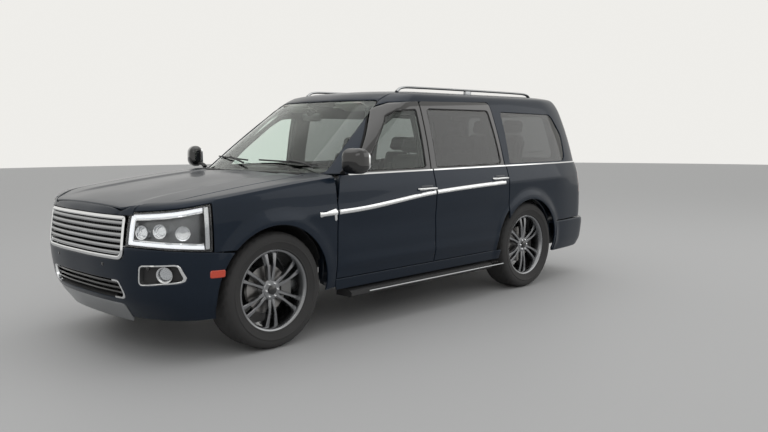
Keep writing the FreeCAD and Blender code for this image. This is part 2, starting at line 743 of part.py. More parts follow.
rim = doc.addObject("PartDesign::Body", "rim_master")
S = "sizes.spindle_radius"
turned(rim, "hub", [("-10", S + " + 0.05"), ("-10", "172"), ("16", "172"), ("16", "78"), ("86", "78"),
                    ("86", "0"), ("56", "0"), ("56", S + " + 0.05")])
spoke = padded(rim, "spoke", "YZ_Plane", [
    [("8", "60"), ("36", "60"), ("52", "272"), ("26", "272")],
    [("-36", "60"), ("-8", "60"), ("-26", "272"), ("-52", "272")]], "26", "58")
spokes = rim.newObject("PartDesign::PolarPattern", "spokes")
spokes.Originals = [spoke]
spokes.Axis = (origin_plane(rim, "X_Axis"), [""])
spokes.Angle = 360
bind(spokes, Occurrences="sizes.spoke_pairs")
rim.Tip = spokes
turned(rim, "barrel", [("-sizes.rim_wide / 2", "270"), ("-sizes.rim_wide / 2", B + " + 12"), ("-105", B + " + 12"),
                       ("-105", B), ("105", B), ("105", B + " + 12"), ("sizes.rim_wide / 2", B + " + 12"),
                       ("sizes.rim_wide / 2", "270")])

corners = (("front_left", 1, "front_axle_y"), ("front_right", -1, "front_axle_y"),
           ("rear_left", 1, "rear_axle_y"), ("rear_right", -1, "rear_axle_y"))
for corner, sign, axle in corners:
    for kind, master in (("tyre", tyre), ("rim", rim)):
        item = together("%s_%s" % (kind, corner), [master])
        if sign < 0:
            item.Placement = Placement(Vector(), Rotation(Vector(0, 0, 1), 180))
        bind(item, Placement__Base__x="%d * sizes.track_half" % sign, Placement__Base__y="sizes." + axle,
             Placement__Base__z="sizes.tyre_radius")
        parts[item.Name] = item

# Steering knuckles: a sleeve on the kingpin, the spindle and the brake caliper
K = "sizes.kingpin_x"
A = "sizes.front_axle_y"
W = "sizes.tyre_radius"


def caliper(name, side_y, disc_y):
    body = sized_box(name + "_body", ("sizes.track_half - 52", "sizes.track_half + 34"), side_y, (W + " - 65", W + " + 65"))
    slot = sized_rod(name + "_slot", "x", "178", "36", "sizes.track_half - 15", disc_y, W)
    return less(name, body, slot)


knuckle = joined("knuckle_solid", [
    sized_rod("sleeve", "z", "36", "210", K, A, "312"),
    sized_rod("knuckle_boss", "x", "52", "62", K + " - 20", A, W),
    sized_rod("front_spindle", "x", S, "150", K, A, W),
    sized_box("caliper_plate", (K + " - 20", K + " + 50"), (A, A + " + 150"), (W + " - 45", W + " + 45")),
    caliper("front_caliper", (A + " + 118", A + " + 205"), A),
    sized_box("steering_arm", (K + " - 60", K), (A + " + 20", A + " + 150"), ("330", "352")),
])
knuckle_left = less("knuckle_left", knuckle, sized_rod(
    "kingpin_bore", "z", "sizes.kingpin_radius + sizes.pin_clearance", "400", K, A, "250"))
parts["knuckle_left"] = knuckle_left
parts["knuckle_right"] = reflected("knuckle_right", knuckle_left)

# Ladder frame in three welded sections: two rails that rise over the axles, and cross members
RAIL_SECTIONS = (
    ("frame_front", [(-2440, 470), (-1310, 470), (-1190, 405), (-1150.4, 405), (-1150.4, 525), (-1155, 525),
                     (-1275, 590), (-2440, 590)]),
    ("frame_middle", [(-1150, 405), (960, 405), (960, 525), (-1150, 525)]),
    ("frame_rear", [(960.4, 405), (970, 405), (1190, 560), (2400, 560), (2400, 660), (1190, 660), (1000, 525),
                    (960.4, 525)]),
)
# Cross members: section, name, front, rear, bottom, top
CROSS_MEMBERS = (
    ("frame_front", "cross_nose", -2430, -2360, 490, 560),
    ("frame_front", "cross_engine", -1640, -1540, 400, 489),
    ("frame_middle", "cross_gearbox", -760, -680, 420, 500),
    ("frame_middle", "cross_seat", 700, 770, 430, 510),
    ("frame_rear", "cross_axle", 1230, 1300, 570, 650),
    ("frame_rear", "cross_spare", 1960, 2020, 575, 650),
    ("frame_rear", "cross_tail", 2320, 2400, 570, 650),
)
# Body mounts: section, position, top of the rail, floor that they carry
BODY_MOUNTS = (
    ("frame_middle", -900, "525", "sizes.floor_z"),
    ("frame_middle", 500, "525", "sizes.floor_z"),
    ("frame_rear", 1150, "660", "sizes.load_floor_z"),
    ("frame_rear", 2250, "660", "sizes.load_floor_z"),
)
for section, corners in RAIL_SECTIONS:
    rail = side_pad(section + "_rail", formulas(corners), "sizes.rail_wide / 2")
    pieces = []
    for sign, word in ((1, "left"), (-1, "right")):
        copy = together("%s_rail_%s" % (section, word), [rail])
        bind(copy, Placement__Base__x="%d * sizes.rail_half" % sign)
        pieces.append(copy)
        for owner, place_y, top, deck in BODY_MOUNTS:
            if owner == section:
                pieces.append(sized_rod("body_mount_%s_%d" % (word, place_y), "z", "38",
                                        "%s - sizes.floor_wall - sizes.seam - %s" % (deck, top),
                                        "%d * sizes.rail_half" % sign, str(place_y), top))
    for owner, name, y0, y1, z0, z1 in CROSS_MEMBERS:
        if owner == section:
            pieces.append(sized_box(name, ("-sizes.rail_half", "sizes.rail_half"), (str(y0), str(y1)),
                                    (str(z0), str(z1))))
    if section == "frame_rear":
        pieces.append(sized_rod("spare_pin", "z", "12", "100", "0", "1990", "486"))
    parts[section] = joined(section, pieces)

# Front suspension: wishbones from the rails, kingpins and spring struts
INNER = "sizes.rail_half + sizes.rail_wide / 2 + sizes.seam"


def span(sign, low, high):
    """The low and high formulas of a stretch on the +X side, or of its mirror image."""
    return (low, high) if sign > 0 else ("-(%s)" % high, "-(%s)" % low)


arms = []
for sign, word in ((1, "left"), (-1, "right")):
    kingpin = "%d * sizes.kingpin_x" % sign
    arms.append(sized_rod("kingpin_" + word, "z", "sizes.kingpin_radius", "304", kingpin, A, "262"))
    arms.append(sized_rod("low_joint_" + word, "z", "34", "40", kingpin, A, "262"))
    arms.append(sized_rod("top_joint_" + word, "z", "30", "34", kingpin, A, "532"))
    inner = "%d * (%s)" % (sign, INNER)
    for level, low, high, reach in (("low", 268, 296, 190), ("top", 536, 560, 110)):
        for way in (-1, 1):
            arm = doc.addObject("PartDesign::Body", "%s_arm_%s_%d" % (level, word, way + 1))
            padded(arm, arm.Name + "_pad", "XY_Plane", [[
                (inner, "%s %+d" % (A, way * (reach + 24))), (inner, "%s %+d" % (A, way * (reach - 24))),
                (kingpin, "%s %+d" % (A, way * -6)), (kingpin, "%s %+d" % (A, way * 26))]],
                str(high - low), str(low))
            arms.append(arm)
    for way in (-1, 1):
        arms.append(sized_box("arm_bracket_%s_%d" % (word, way + 1), span(sign, INNER, INNER + " + 14"),
                              ("%s - 25 %+d" % (A, way * 190), "%s + 25 %+d" % (A, way * 190)), ("262", "566")))
        arms.append(sized_box("arm_bracket_top_%s_%d" % (word, way + 1), span(sign, INNER, INNER + " + 14"),
                              ("%s - 50 %+d" % (A, way * 140), "%s + 50 %+d" % (A, way * 140)), ("530", "566")))
    arms.append(sized_box("strut_foot_" + word, span(sign, "545", "635"), (A + " - 112", A + " + 112"),
                          ("268", "296")))
    arms.append(sized_rod("strut_" + word, "z", "50", "600", "%d * 590" % sign, A, "285"))
parts["front_suspension"] = joined("front_suspension", arms)

# Rear suspension: subframe, final drive, half shafts, carriers with spindles and calipers
Q = "sizes.rear_axle_y"
rear = [
    sized_rod("final_drive", "y", "105", "230", "0", Q + " - 115", W),
    sized_rod("half_shafts", "x", "22", "1480", "-740", Q, W),
    sized_rod("drive_nose", "y", "52", "130", "0", Q + " - 235", "400"),
]
for way in (-1, 1):
    rear.append(sized_box("subframe_%d" % (way + 1), (
        "-sizes.rail_half - sizes.rail_wide / 2", "sizes.rail_half + sizes.rail_wide / 2"),
        ("%s - 30 %+d" % (Q, way * 150), "%s + 30 %+d" % (Q, way * 150)), ("480", "559.6")))
rear.append(sized_box("drive_hanger", ("-60", "60"), (Q + " - 160", Q + " + 160"), ("485", "530")))
for sign, word in ((1, "left"), (-1, "right")):
    start = "%d * (sizes.kingpin_x - 20)" % sign if sign > 0 else "-(sizes.kingpin_x + 42)"
    rear.append(sized_rod("carrier_boss_" + word, "x", "52", "62", start, Q, W))
    spin = "sizes.kingpin_x" if sign > 0 else "-(sizes.kingpin_x + 150)"
    rear.append(sized_rod("rear_spindle_" + word, "x", S, "150", spin, Q, W))
    rear.append(sized_box("carrier_" + word, span(sign, "sizes.kingpin_x - 20", "sizes.kingpin_x + 15"),
                          (Q + " - 55", Q + " + 55"), ("262", "566")))
    rear.append(sized_box("carrier_plate_" + word, span(sign, "sizes.kingpin_x - 20", "sizes.kingpin_x + 50"),
                          (Q, Q + " + 150"), (W + " - 45", W + " + 45")))
    body = sized_box("rear_caliper_body_" + word, span(sign, "sizes.track_half - 52", "sizes.track_half + 34"),
                     (Q + " + 118", Q + " + 205"), (W + " - 60", W + " + 60"))
    slot_x = "sizes.track_half - 15" if sign > 0 else "-(sizes.track_half + 21)"
    slot = sized_rod("rear_caliper_slot_" + word, "x", "178", "36", slot_x, Q, W)
    rear.append(less("rear_caliper_" + word, body, slot))
    rear.append(sized_box("rear_low_arm_" + word, span(sign, "sizes.rail_half", "sizes.kingpin_x"),
                          (Q + " - 120", Q + " + 40"), ("266", "294")))
    rear.append(sized_box("rear_top_arm_" + word, span(sign, "sizes.rail_half", "sizes.kingpin_x"),
                          (Q + " - 40", Q + " + 40"), ("538", "559.6")))
    rear.append(sized_box("rear_arm_post_" + word, span(sign, "sizes.rail_half", "sizes.rail_half + 30"),
                          (Q + " - 120", Q + " + 180"), ("266", "559.6")))
parts["rear_suspension"] = joined("rear_suspension", rear)

# Engine and driveline
parts["engine_block"] = sized_box("engine_block", ("-270", "270"), ("-1980", "-1300"), ("489 + sizes.seam", "980"))
parts["driveline"] = joined("driveline", [
    sized_box("gearbox", ("-170", "170"), ("-1300 + sizes.seam + 0.2", "-760 - sizes.seam"), ("345", "545")),
    sized_box("bell_housing", ("-200", "200"), ("-1300 + sizes.seam", "-1200"), ("345", "700")),
    sized_rod("drive_shaft", "y", "30", Q + " - 235 - sizes.seam + 780", "0", "-780", "385")])
parts["radiator"] = sized_box("radiator", ("-550", "550"), ("-2430", "-2380"), ("590 + sizes.seam", "930"))
parts["fuel_tank"] = sized_box("fuel_tank", ("60", "sizes.rail_half - sizes.rail_wide / 2 - sizes.seam"),
                               ("-200", "600"), ("300", "500"))
PIPE = "-(sizes.rail_half + sizes.rail_wide / 2 + sizes.seam + 32)"
parts["exhaust"] = joined("exhaust", [
    sized_rod("exhaust_pipe", "y", "32", "3400", PIPE, "-1000", "490"),
    sized_rod("silencer", "y", "78", "420", PIPE + " - 46", "1880", "475")])
parts["spare_wheel"] = joined("spare_wheel", [
    sized_rod("spare_tyre", "z", "345", "190", "0", "1990", "295"),
    sized_rod("spare_hub", "z", "120", "10", "0", "1990", "486 - sizes.seam - 10")])

# Cabin: floor, wheel houses, firewall, dashboard, console and seats
cabin_space = doc.addObject("Part::Feature", "cabin_space")
cabin_space.Shape = lower_inside
under_body = doc.addObject("Part::Feature", "under_body")
under_body.Shape = lower_body(wall + seam).cut(
    block(-far, far, size("front_pivot_y") - 140 - seam, long_y, 0, 2000).cut(lower_inside))


def inside(name, item):
    common = doc.addObject("Part::MultiCommon", name)
    common.Shapes = [item, cabin_space]
    return common


F = "sizes.floor_z"
L = "sizes.load_floor_z"
floor_pad = side_pad("floor_pad", [
    ("-1140", F + " - sizes.floor_wall"), ("-1140", F), ("960", F), ("1000", L), ("2430", L),
    ("2430", L + " - sizes.floor_wall"), ("1025", L + " - sizes.floor_wall"),
    ("985", F + " - sizes.floor_wall")], "920")
wheel_holes = [sized_rod("house_hole_" + word, "x", "sizes.rear_arch_radius + sizes.liner_wall + sizes.seam", "320",
                         "642 - sizes.seam" if sign > 0 else "-(962 - sizes.seam)", Q, W)
               for sign, word in ((1, "left"), (-1, "right"))]
parts["floor_pan"] = less("floor_pan", inside("floor_inside", floor_pad), together("house_holes", wheel_holes))
parts["firewall"] = inside("firewall", sized_box("firewall_plate", ("-920", "920"), ("-1140", "-1120"),
                                                 (F + " + sizes.seam", "1180")))

liners = []
for sign, word in ((1, "left"), (-1, "right")):
    for end, radius, centre, inner, outer in (
            ("front", "sizes.liner_radius", A, "460", "960"),
            ("rear", "sizes.rear_arch_radius", Q, "642", "960")):
        outer_rod = sized_rod("liner_outer_%s_%s" % (end, word), "x", radius + " + sizes.liner_wall",
                              "%s - %s" % (outer, inner), inner if sign > 0 else "-" + outer, centre, W)
        deep = "0" if end == "front" else "sizes.liner_wall"
        inner_rod = sized_rod("liner_inner_%s_%s" % (end, word), "x", radius,
                              "%s - %s + 20" % (outer, inner),
                              "%s + %s - %s" % (inner, deep, "10" if end == "front" else "0") if sign > 0
                              else "-%s - 10 - %s * 0" % (outer, deep), centre, W)
        if sign < 0:
            inner_rod.setExpression("Height", "%s - %s + 10 - %s + %s" % (
                outer, inner, deep, "10" if end == "front" else "0"))
        tube = less("liner_tube_%s_%s" % (end, word), outer_rod, inner_rod)
        upper = sized_box("liner_upper_%s_%s" % (end, word), ("-1000", "1000"),
                          (centre + " - 600", centre + " + 600"), ("480" if end == "front" else "570", "1000"))
        common = doc.addObject("Part::MultiCommon", "liner_%s_%s" % (end, word))
        common.Shapes = [tube, upper, under_body]
        liners.append(common)
parts["wheel_liners"] = together("wheel_liners", liners)

dash_pad = side_pad("dash_pad", [("-1119", "840"), ("-1119", "1170"), ("-1040", "1196"), ("-760", "1196"),
                                 ("-640", "1120"), ("-640", "1010"), ("-700", "900"), ("-900", "840")], "900")
parts["dashboard"] = inside("dashboard", dash_pad)
parts["console"] = side_pad("console", [
    ("-710", F + " + sizes.seam"), ("-710", "880"), ("-400", "850"), ("-100", "930"), ("240", "930"),
    ("240", F + " + sizes.seam")], "130")

tilt = Placement(Vector(400, -470, 1060), Rotation(Vector(1, 0, 0), -65))
rim_polygons = []
for name, radius in (("wheel_outside", 196), ("wheel_inside", 168)):
    polygon = doc.addObject("Part::Prism", name)
    polygon.Polygon, polygon.Circumradius, polygon.Height = 24, radius, 26
    polygon.Placement = tilt.multiply(Placement(Vector(0, 0, -13), Rotation()))
    rim_polygons.append(polygon)
wheel_ring = less("wheel_ring", *rim_polygons)
column = doc.addObject("Part::Cylinder", "column")
column.Radius, column.Height = 32, 250
column.Placement = tilt.multiply(Placement(Vector(0, 0, -250), Rotation()))
wheel_hub = doc.addObject("Part::Cylinder", "wheel_hub")
wheel_hub.Radius, wheel_hub.Height = 60, 34
wheel_hub.Placement = tilt.multiply(Placement(Vector(0, 0, -24), Rotation()))
wheel_spokes = []
for index, angle in enumerate((0, 180, 90)):
    arm = doc.addObject("Part::Box", "wheel_spoke_%d" % index)
    arm.Length, arm.Width, arm.Height = 185, 34, 12
    arm.Placement = tilt.multiply(Placement(Vector(), Rotation(Vector(0, 0, 1), angle))).multiply(
        Placement(Vector(0, -17, -6), Rotation()))
    wheel_spokes.append(arm)
steering = joined("steering_solid", [wheel_ring, column, wheel_hub] + wheel_spokes)
parts["steering_wheel"] = less("steering_wheel", steering, together("dash_copy", [parts["dashboard"]]))


def seat(name, front_y, low_z, half, back_y):
    """Seat on its base: cushion, leaning back and head restraint, in one closed solid."""
    base = low_z + seam
    corners = formulas([
        (front_y + 60, base), (front_y, low_z + 190), (front_y + 20, low_z + 290), (back_y - 20, low_z + 260),
        (back_y + 160, low_z + 720), (back_y + 175, low_z + 870), (back_y + 255, low_z + 860),
        (back_y + 250, low_z + 700), (back_y + 100, low_z + 180), (back_y + 40, base)])
    return side_pad(name, corners, str(half))


front_seats = []
for sign in (-1, 1):
    base = seat("seat_base_%d" % (sign + 1), -330, size("floor_z"), 265, 130)
    moved = together("seat_front_%d" % (sign + 1), [base])
    moved.Placement = Placement(Vector(sign * 410, 0, 0), Rotation())
    front_seats.append(moved)
parts["front_seats"] = together("front_seats", front_seats)
parts["middle_seat"] = seat("middle_seat", 440, size("floor_z"), 640, 835)
parts["rear_seat"] = seat("rear_seat", 1330, size("load_floor_z"), 600, 1710)

# Outside fittings: running boards, mirrors and roof rails
boards = []
for sign, word in ((1, "left"), (-1, "right")):
    board = doc.addObject("PartDesign::Body", "board_" + word)
    edge = [("830", "262"), ("985", "262"), ("1004", "276"), ("1004", "300"), ("985", "312"),
            ("900", "sizes.sill_low_z - sizes.seam"), ("830", "sizes.sill_low_z - sizes.seam")]
    if sign < 0:
        edge = [("-" + a, b) for a, b in edge]
    padded(board, "board_pad_" + word, "XZ_Plane", [edge], "1780", "-800")
    boards.append(board)
parts["running_boards"] = together("running_boards", boards)

mirror_arm = block(930, 1100, -1040, -1000, belt_z + seam, belt_z + 45)
mirror_arm = mirror_arm.cut(block(930, 958, -1060, -980, belt_z + 14, belt_z + 60))
housing = front_prism([(1015, belt_z + 20, 40), (1015, belt_z + 205, 55), (1190, belt_z + 190, 50),
                       (1180, belt_z + 25, 45)], -1085, -955)
mirror = housing.fuse(mirror_arm)
keep("mirror_left", mirror)
keep("mirror_right", mirrored(mirror))

rail_x = 600
rails = []
rail_top_z = 1925
roof_skin = upper_body(-seam)
for sign in (-1, 1):
    pieces = [block(sign * rail_x - 18, sign * rail_x + 18, -60, 1960, rail_top_z - 30, rail_top_z)]
    for place_y in (-60, 900, 1880):
        pieces.append(block(sign * rail_x - 18, sign * rail_x + 18, place_y, place_y + 80, 1840, rail_top_z - 10))
    rails.append(pieces[0].fuse(pieces[1:]).cut(roof_skin))
keep("roof_rails", Part.makeCompound(rails))

doc.recompute()

os.makedirs("parts", exist_ok=True)
for item in doc.Objects:
    if "Invalid" in item.State or "Error" in item.State:
        raise RuntimeError(item.Label + " failed")
for item in parts.values():
    if item.Shape.isNull() or not item.Shape.isValid():
        raise RuntimeError(item.Label + " has no valid shape")
    item.Shape.exportStep("parts/%s.step" % item.Label)
    print(item.Label, len(item.Shape.Solids), round(item.Shape.Volume / 1e6, 2))
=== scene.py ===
import json
import math
import bpy
import numpy as np
from mathutils import Matrix, Vector

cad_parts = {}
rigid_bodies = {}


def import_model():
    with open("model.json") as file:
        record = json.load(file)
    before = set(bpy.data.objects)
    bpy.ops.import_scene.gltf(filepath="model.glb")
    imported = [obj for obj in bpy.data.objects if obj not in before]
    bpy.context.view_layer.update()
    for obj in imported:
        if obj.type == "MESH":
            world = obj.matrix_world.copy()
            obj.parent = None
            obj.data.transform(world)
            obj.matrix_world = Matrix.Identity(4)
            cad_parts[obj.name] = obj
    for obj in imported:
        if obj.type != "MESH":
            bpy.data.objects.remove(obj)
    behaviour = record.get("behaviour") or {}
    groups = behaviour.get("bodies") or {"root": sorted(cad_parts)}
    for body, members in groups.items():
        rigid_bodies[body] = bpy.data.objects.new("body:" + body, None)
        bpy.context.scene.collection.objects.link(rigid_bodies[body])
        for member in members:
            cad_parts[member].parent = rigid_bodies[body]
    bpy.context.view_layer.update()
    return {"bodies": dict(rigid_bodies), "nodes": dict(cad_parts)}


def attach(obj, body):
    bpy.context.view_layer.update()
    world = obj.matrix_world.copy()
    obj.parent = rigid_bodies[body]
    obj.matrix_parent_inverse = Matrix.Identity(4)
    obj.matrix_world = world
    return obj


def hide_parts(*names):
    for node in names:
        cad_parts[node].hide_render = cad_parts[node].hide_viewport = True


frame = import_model()

# Body of the vehicle, in metres: +X its left, -Y its front, +Z up
NOSE, TAIL = -2.653, 2.653
HALF = 1.014
FRONT_AXLE, REAR_AXLE, AXLE_Z = -1.683, 1.392, 0.417
TRACK, FRONT_ARCH, REAR_ARCH = 0.855, 0.468, 0.455
DOOR_PIVOT_X, FRONT_PIVOT, REAR_PIVOT = 0.994, -1.085, 0.030
SHOULDER = 0.045

# height, half width less than the widest, setback of nose and of tail
LOWER = ((0.250, 0.062, 0.150, 0.150), (0.470, 0.022, 0.022, 0.090), (0.700, 0.003, 0.0, 0.078),
         (0.900, 0.0, 0.022, 0.084), (1.080, 0.008, 0.068, 0.105), (1.275, 0.062, 0.150, 0.160))
# height, half width less than the widest, front and rear at the centre line
UPPER = ((1.190, 0.057, -1.252, 2.482), (1.420, 0.102, -0.955, 2.436), (1.640, 0.160, -0.660, 2.384),
         (1.770, 0.205, -0.478, 2.345), (1.848, 0.262, -0.338, 2.290), (1.878, 0.420, -0.160, 2.100),
         (1.888, 0.650, -0.020, 1.900), (1.893, 1.0135, 0.060, 1.800))
# hood and fender tops: y, height at the centre line, fall to the side
TOP = ((NOSE - 0.06, 0.985, 0.060), (NOSE + 0.13, 1.072, 0.050), (-2.0, 1.152, 0.045), (-1.5, 1.206, 0.042),
       (-1.05, 1.240, 0.040))
# rear bumper: height, half width less than the widest, setback
BUMPER = ((0.300, 0.050, 0.075), (0.400, 0.031, 0.008), (0.560, 0.014, 0.0), (0.620, 0.009, 0.022))


def curve(x, knots, values):
    """Smooth curve through the values that never overshoots them."""
    knots, values = np.asarray(knots, float), np.asarray(values, float)
    steps = np.diff(values) / np.diff(knots)
    slopes = np.empty(len(knots))
    slopes[0], slopes[-1] = steps[0], steps[-1]
    left, right = steps[:-1], steps[1:]
    same = left * right > 0
    slopes[1:-1] = np.where(same, 2 * left * right / np.where(same, left + right, 1), 0)
    x = np.clip(x, knots[0], knots[-1])
    i = np.clip(np.searchsorted(knots, x) - 1, 0, len(knots) - 2)
    width = knots[i + 1] - knots[i]
    t = (x - knots[i]) / width
    return ((2 * t**3 - 3 * t**2 + 1) * values[i] + (t**3 - 2 * t**2 + t) * width * slopes[i]
            + (3 * t**2 - 2 * t**3) * values[i + 1] + (t**3 - t**2) * width * slopes[i + 1])


def mm(*rows):
    """Rows of numbers given in millimetres, in metres."""
    return [tuple(value / 1000 for value in row) for row in rows]


def column(x, rows, index):
    """Smooth curve through one column of a table, over its first column."""
    return curve(x, [row[0] for row in rows], [row[index] for row in rows])


def fillets(corners, closed):
    """Runs and arcs of a line with rounded corners (a, b, radius)."""
    pieces = []
    count = len(corners)
    points = [np.array(c[:2], float) for c in corners]
    ends = []
    for i in range(count):
        if not closed and i in (0, count - 1):
            ends.append((points[i], None, points[i]))
            continue
        here, before, after = points[i], points[i - 1], points[(i + 1) % count]
        back, ahead = before - here, after - here
        room = 0.48 * min(np.linalg.norm(back), np.linalg.norm(ahead))
        back, ahead = back / np.linalg.norm(back), ahead / np.linalg.norm(ahead)
        half = math.acos(max(-1, min(1, back @ ahead))) / 2
        if half > math.pi / 2 - 0.01:
            ends.append((here, None, here))
            continue
        reach = min(room, corners[i][2] / math.tan(half))
        ends.append((here + back * reach, here, here + ahead * reach))
    for i in range(count):
        start, middle, end = ends[i]
        pieces.append((start, start if middle is None else middle, end))
        if closed or i < count - 1:
            following = ends[(i + 1) % count][0]
            pieces.append((end, (end + following) / 2, following))
    return pieces


def arc_point(arc, t):
    """Point of a quadratic arc at the share t of it."""
    a, b, c = arc
    return a * (1 - t) ** 2 + 2 * b * t * (1 - t) + c * t * t


def even_places(pieces, count):
    lengths = np.array([np.linalg.norm(b - a) + np.linalg.norm(c - b) for a, b, c in pieces])
    total = np.concatenate([[0], np.cumsum(lengths)])
    places = []
    for d in np.linspace(0, total[-1], count):
        i = min(int(np.searchsorted(total, d, side="right")) - 1, len(pieces) - 1)
        places.append((i, (d - total[i]) / lengths[i] if lengths[i] > 1e-9 else 0.0))
    return places, total[-1]


def lower_corners(half, front, rear):
    return [(0, front, 0), (0.24 * half, front, 3), (0.60 * half, front + 0.04, 0.8),
            (0.93 * half, front + 0.22, 0.33), (half, front + 0.69, 2.5), (half, rear - 0.56, 2.5),
            (0.94 * half, rear - 0.105, 0.17), (0.50 * half, rear, 1.4), (0, rear, 0)]


def upper_corners(half, front, rear):
    return [(0, front, 0), (0.30 * half, front, 1.2), (0.72 * half, front + 0.075, 0.5),
            (half, front + 0.26, 0.2), (half, rear - 0.33, 1.5), (0.93 * half, rear - 0.07, 0.12),
            (0.50 * half, rear, 1.4), (0, rear, 0)]


def softened(rows, amount, odd):
    """Rows smoothed along their length, mirrored at the centre line."""
    reach = 3 * amount
    kernel = np.exp(-0.5 * (np.arange(-reach, reach + 1) / amount) ** 2)
    kernel /= kernel.sum()
    sign = -1 if odd else 1
    wide = np.concatenate([sign * rows[:, reach:0:-1], rows, sign * rows[:, -2:-reach - 2:-1]], axis=1)
    return np.array([np.convolve(row, kernel, "valid") for row in wide])


def lookup(table, a, b):
    """Points of a table at the shares a of its rows and b of its columns."""
    rows, columns, _ = table.shape
    a, b = np.clip(a, 0, 1) * (rows - 1.0001), np.clip(b, 0, 1) * (columns - 1.0001)
    i, j = a.astype(int), b.astype(int)
    a, b = (a - i)[:, None], (b - j)[:, None]
    return (table[i, j] * (1 - a) * (1 - b) + table[i + 1, j] * a * (1 - b)
            + table[i, j + 1] * (1 - a) * b + table[i + 1, j + 1] * a * b)


class Skin:
    """A body surface as a table over s, along its plan outline, and t, up its section."""

    def __init__(self, corners, levels, half, front, rear, height, soften=8, relief=True):
        places, self.length = even_places(fillets(corners(half.max(), front.min(), rear.max()), False), 900)
        outlines = []
        for row in zip(half, front, rear):
            arcs = fillets(corners(*row), False)
            outlines.append([arc_point(arcs[index], t) for index, t in places])
        x, y = np.array(outlines).transpose(2, 0, 1)
        x, y = softened(x, soften, True), softened(y, soften, False)
        self.table = np.stack([x, y, np.repeat(height[:, None], x.shape[1], axis=1)], axis=2)
        self.low, self.high, self.relief = levels[0], levels[-1], relief

    def __call__(self, uv):
        point = self.at(uv[:, 0], uv[:, 1])
        if self.relief:
            point[:, 0] += side_relief(point)
        return point

    def at(self, s, t):
        folded = (s < 0) | (s > self.length)
        s = np.where(s > self.length, 2 * self.length - s, np.abs(s))
        point = lookup(self.table, (t - self.low) / (self.high - self.low), s / self.length)
        point[folded, 0] *= -1
        return point

    def s_at(self, y):
        row = self.table[len(self.table) // 3, :, 1]
        return float(np.interp(y, row, np.linspace(0, self.length, len(row))))

    def side(self, front, rear):
        """The skin and its stretch of s between two places along the left side."""
        return self, (self.s_at(front), self.s_at(rear))

    def tail(self, reach):
        """The skin and its stretch of s to both sides of the middle of the tail."""
        return self, (self.length - reach, self.length + reach)


def top_height(x, y):
    return column(y, TOP, 1) - column(y, TOP, 2) * (x / 1.1) ** 2


levels = np.linspace(LOWER[0][0], LOWER[-1][0], 140)
lower = Skin(lower_corners, levels, HALF - column(levels, LOWER, 1), NOSE + column(levels, LOWER, 2),
             TAIL - column(levels, LOWER, 3), levels)
section = [0.0]
for before, after in zip(UPPER, UPPER[1:]):
    section.append(section[-1] + math.hypot(after[0] - before[0], after[1] - before[1]))
UP_END = section[-1]
steps = np.linspace(0, UP_END, 220)
height, inset, front, rear = (curve(steps, section, values) for values in zip(*UPPER))
upper = Skin(upper_corners, steps, HALF - inset, front, rear, height, 6, False)
levels = np.linspace(BUMPER[0][0], BUMPER[-1][0], 50)
bumper = Skin(lower_corners, levels, HALF - column(levels, BUMPER, 1), NOSE + 0 * levels,
              TAIL - column(levels, BUMPER, 2), levels)


def smoothstep(x, low, high):
    t = np.clip((x - low) / (high - low), 0, 1)
    return t * t * (3 - 2 * t)


def crease_height(y):
    return curve(y, [-2.4, -1.6, -1.0, 0.03, 1.06, 2.4], [0.955, 0.925, 0.935, 1.02, 1.055, 1.075])


def side_relief(point):
    """How far the side stands out: shoulder crease, hollow doors, arch flares and rocker."""
    x, y, z = point.T
    away = z - crease_height(y)
    ridge = 0.012 * np.exp(-np.sqrt(away**2 + 0.004**2) / np.where(away > 0, 0.045, 0.11))
    fade = smoothstep(y, -2.05, -1.5) * (1 - smoothstep(y, 1.9, 2.35))
    doors = smoothstep(y, -1.25, -0.9) * (1 - smoothstep(y, 0.75, 1.1))
    hollow = -0.010 * np.exp(-((z - 0.80) / 0.10) ** 2) * doors
    rocker = 0.012 * np.exp(-((z - 0.53) / 0.045) ** 2) * doors
    out = ridge * fade + hollow + rocker
    for axle, radius, rise in ((FRONT_AXLE, FRONT_ARCH, 0.014), (REAR_AXLE, REAR_ARCH, 0.018)):
        d = np.hypot(y - axle, z - AXLE_Z) - radius
        out += rise * (1 - smoothstep(d, 0.015, 0.11)) * smoothstep(z, 0.3, 0.42)
    wide = smoothstep(np.abs(x), 0.80, 0.92)
    return out * wide * np.sign(x)


def nose_table():
    """Front shell: v below 0 goes down the side or nose, above it over the rounded edge and inwards."""
    s = np.linspace(0, lower.s_at(-1.0), 460)
    height = np.full(len(s), 1.05)
    for _ in range(12):
        point = lower.at(s, height)
        height = 0.5 * height + 0.5 * top_height(point[:, 0], point[:, 1])
    radius = SHOULDER
    base_z = height - radius
    edge = lower.at(s, base_z)
    lean = np.gradient(edge[:, :2], axis=0)
    inward = np.stack([-lean[:, 1], lean[:, 0]], axis=1)
    inward /= np.linalg.norm(inward, axis=1)[:, None]
    v = np.linspace(-0.85, 0.32, 240)
    rows = []
    for value in v:
        if value < 0:
            rows.append(lower.at(s, base_z + value))
            continue
        turn = min(value / radius, math.pi / 2)
        depth = radius * (1 - math.cos(turn)) + max(0, value - radius * math.pi / 2)
        flat = edge[:, :2] + inward * depth
        over = top_height(flat[:, 0], flat[:, 1])
        z = base_z + radius * math.sin(turn) if turn < math.pi / 2 else over
        rows.append(np.stack([flat[:, 0], flat[:, 1], z], axis=1))
    table = np.array(rows)
    kernel = np.exp(-0.5 * (np.arange(-6, 7) / 2.2) ** 2)
    kernel /= kernel.sum()
    wide = np.concatenate([table[:1].repeat(6, 0), table, table[-1:].repeat(6, 0)])
    table = sum(k * wide[i:i + len(table)] for i, k in enumerate(kernel))
    return table, s[-1], v


nose_points, nose_length, nose_v = nose_table()


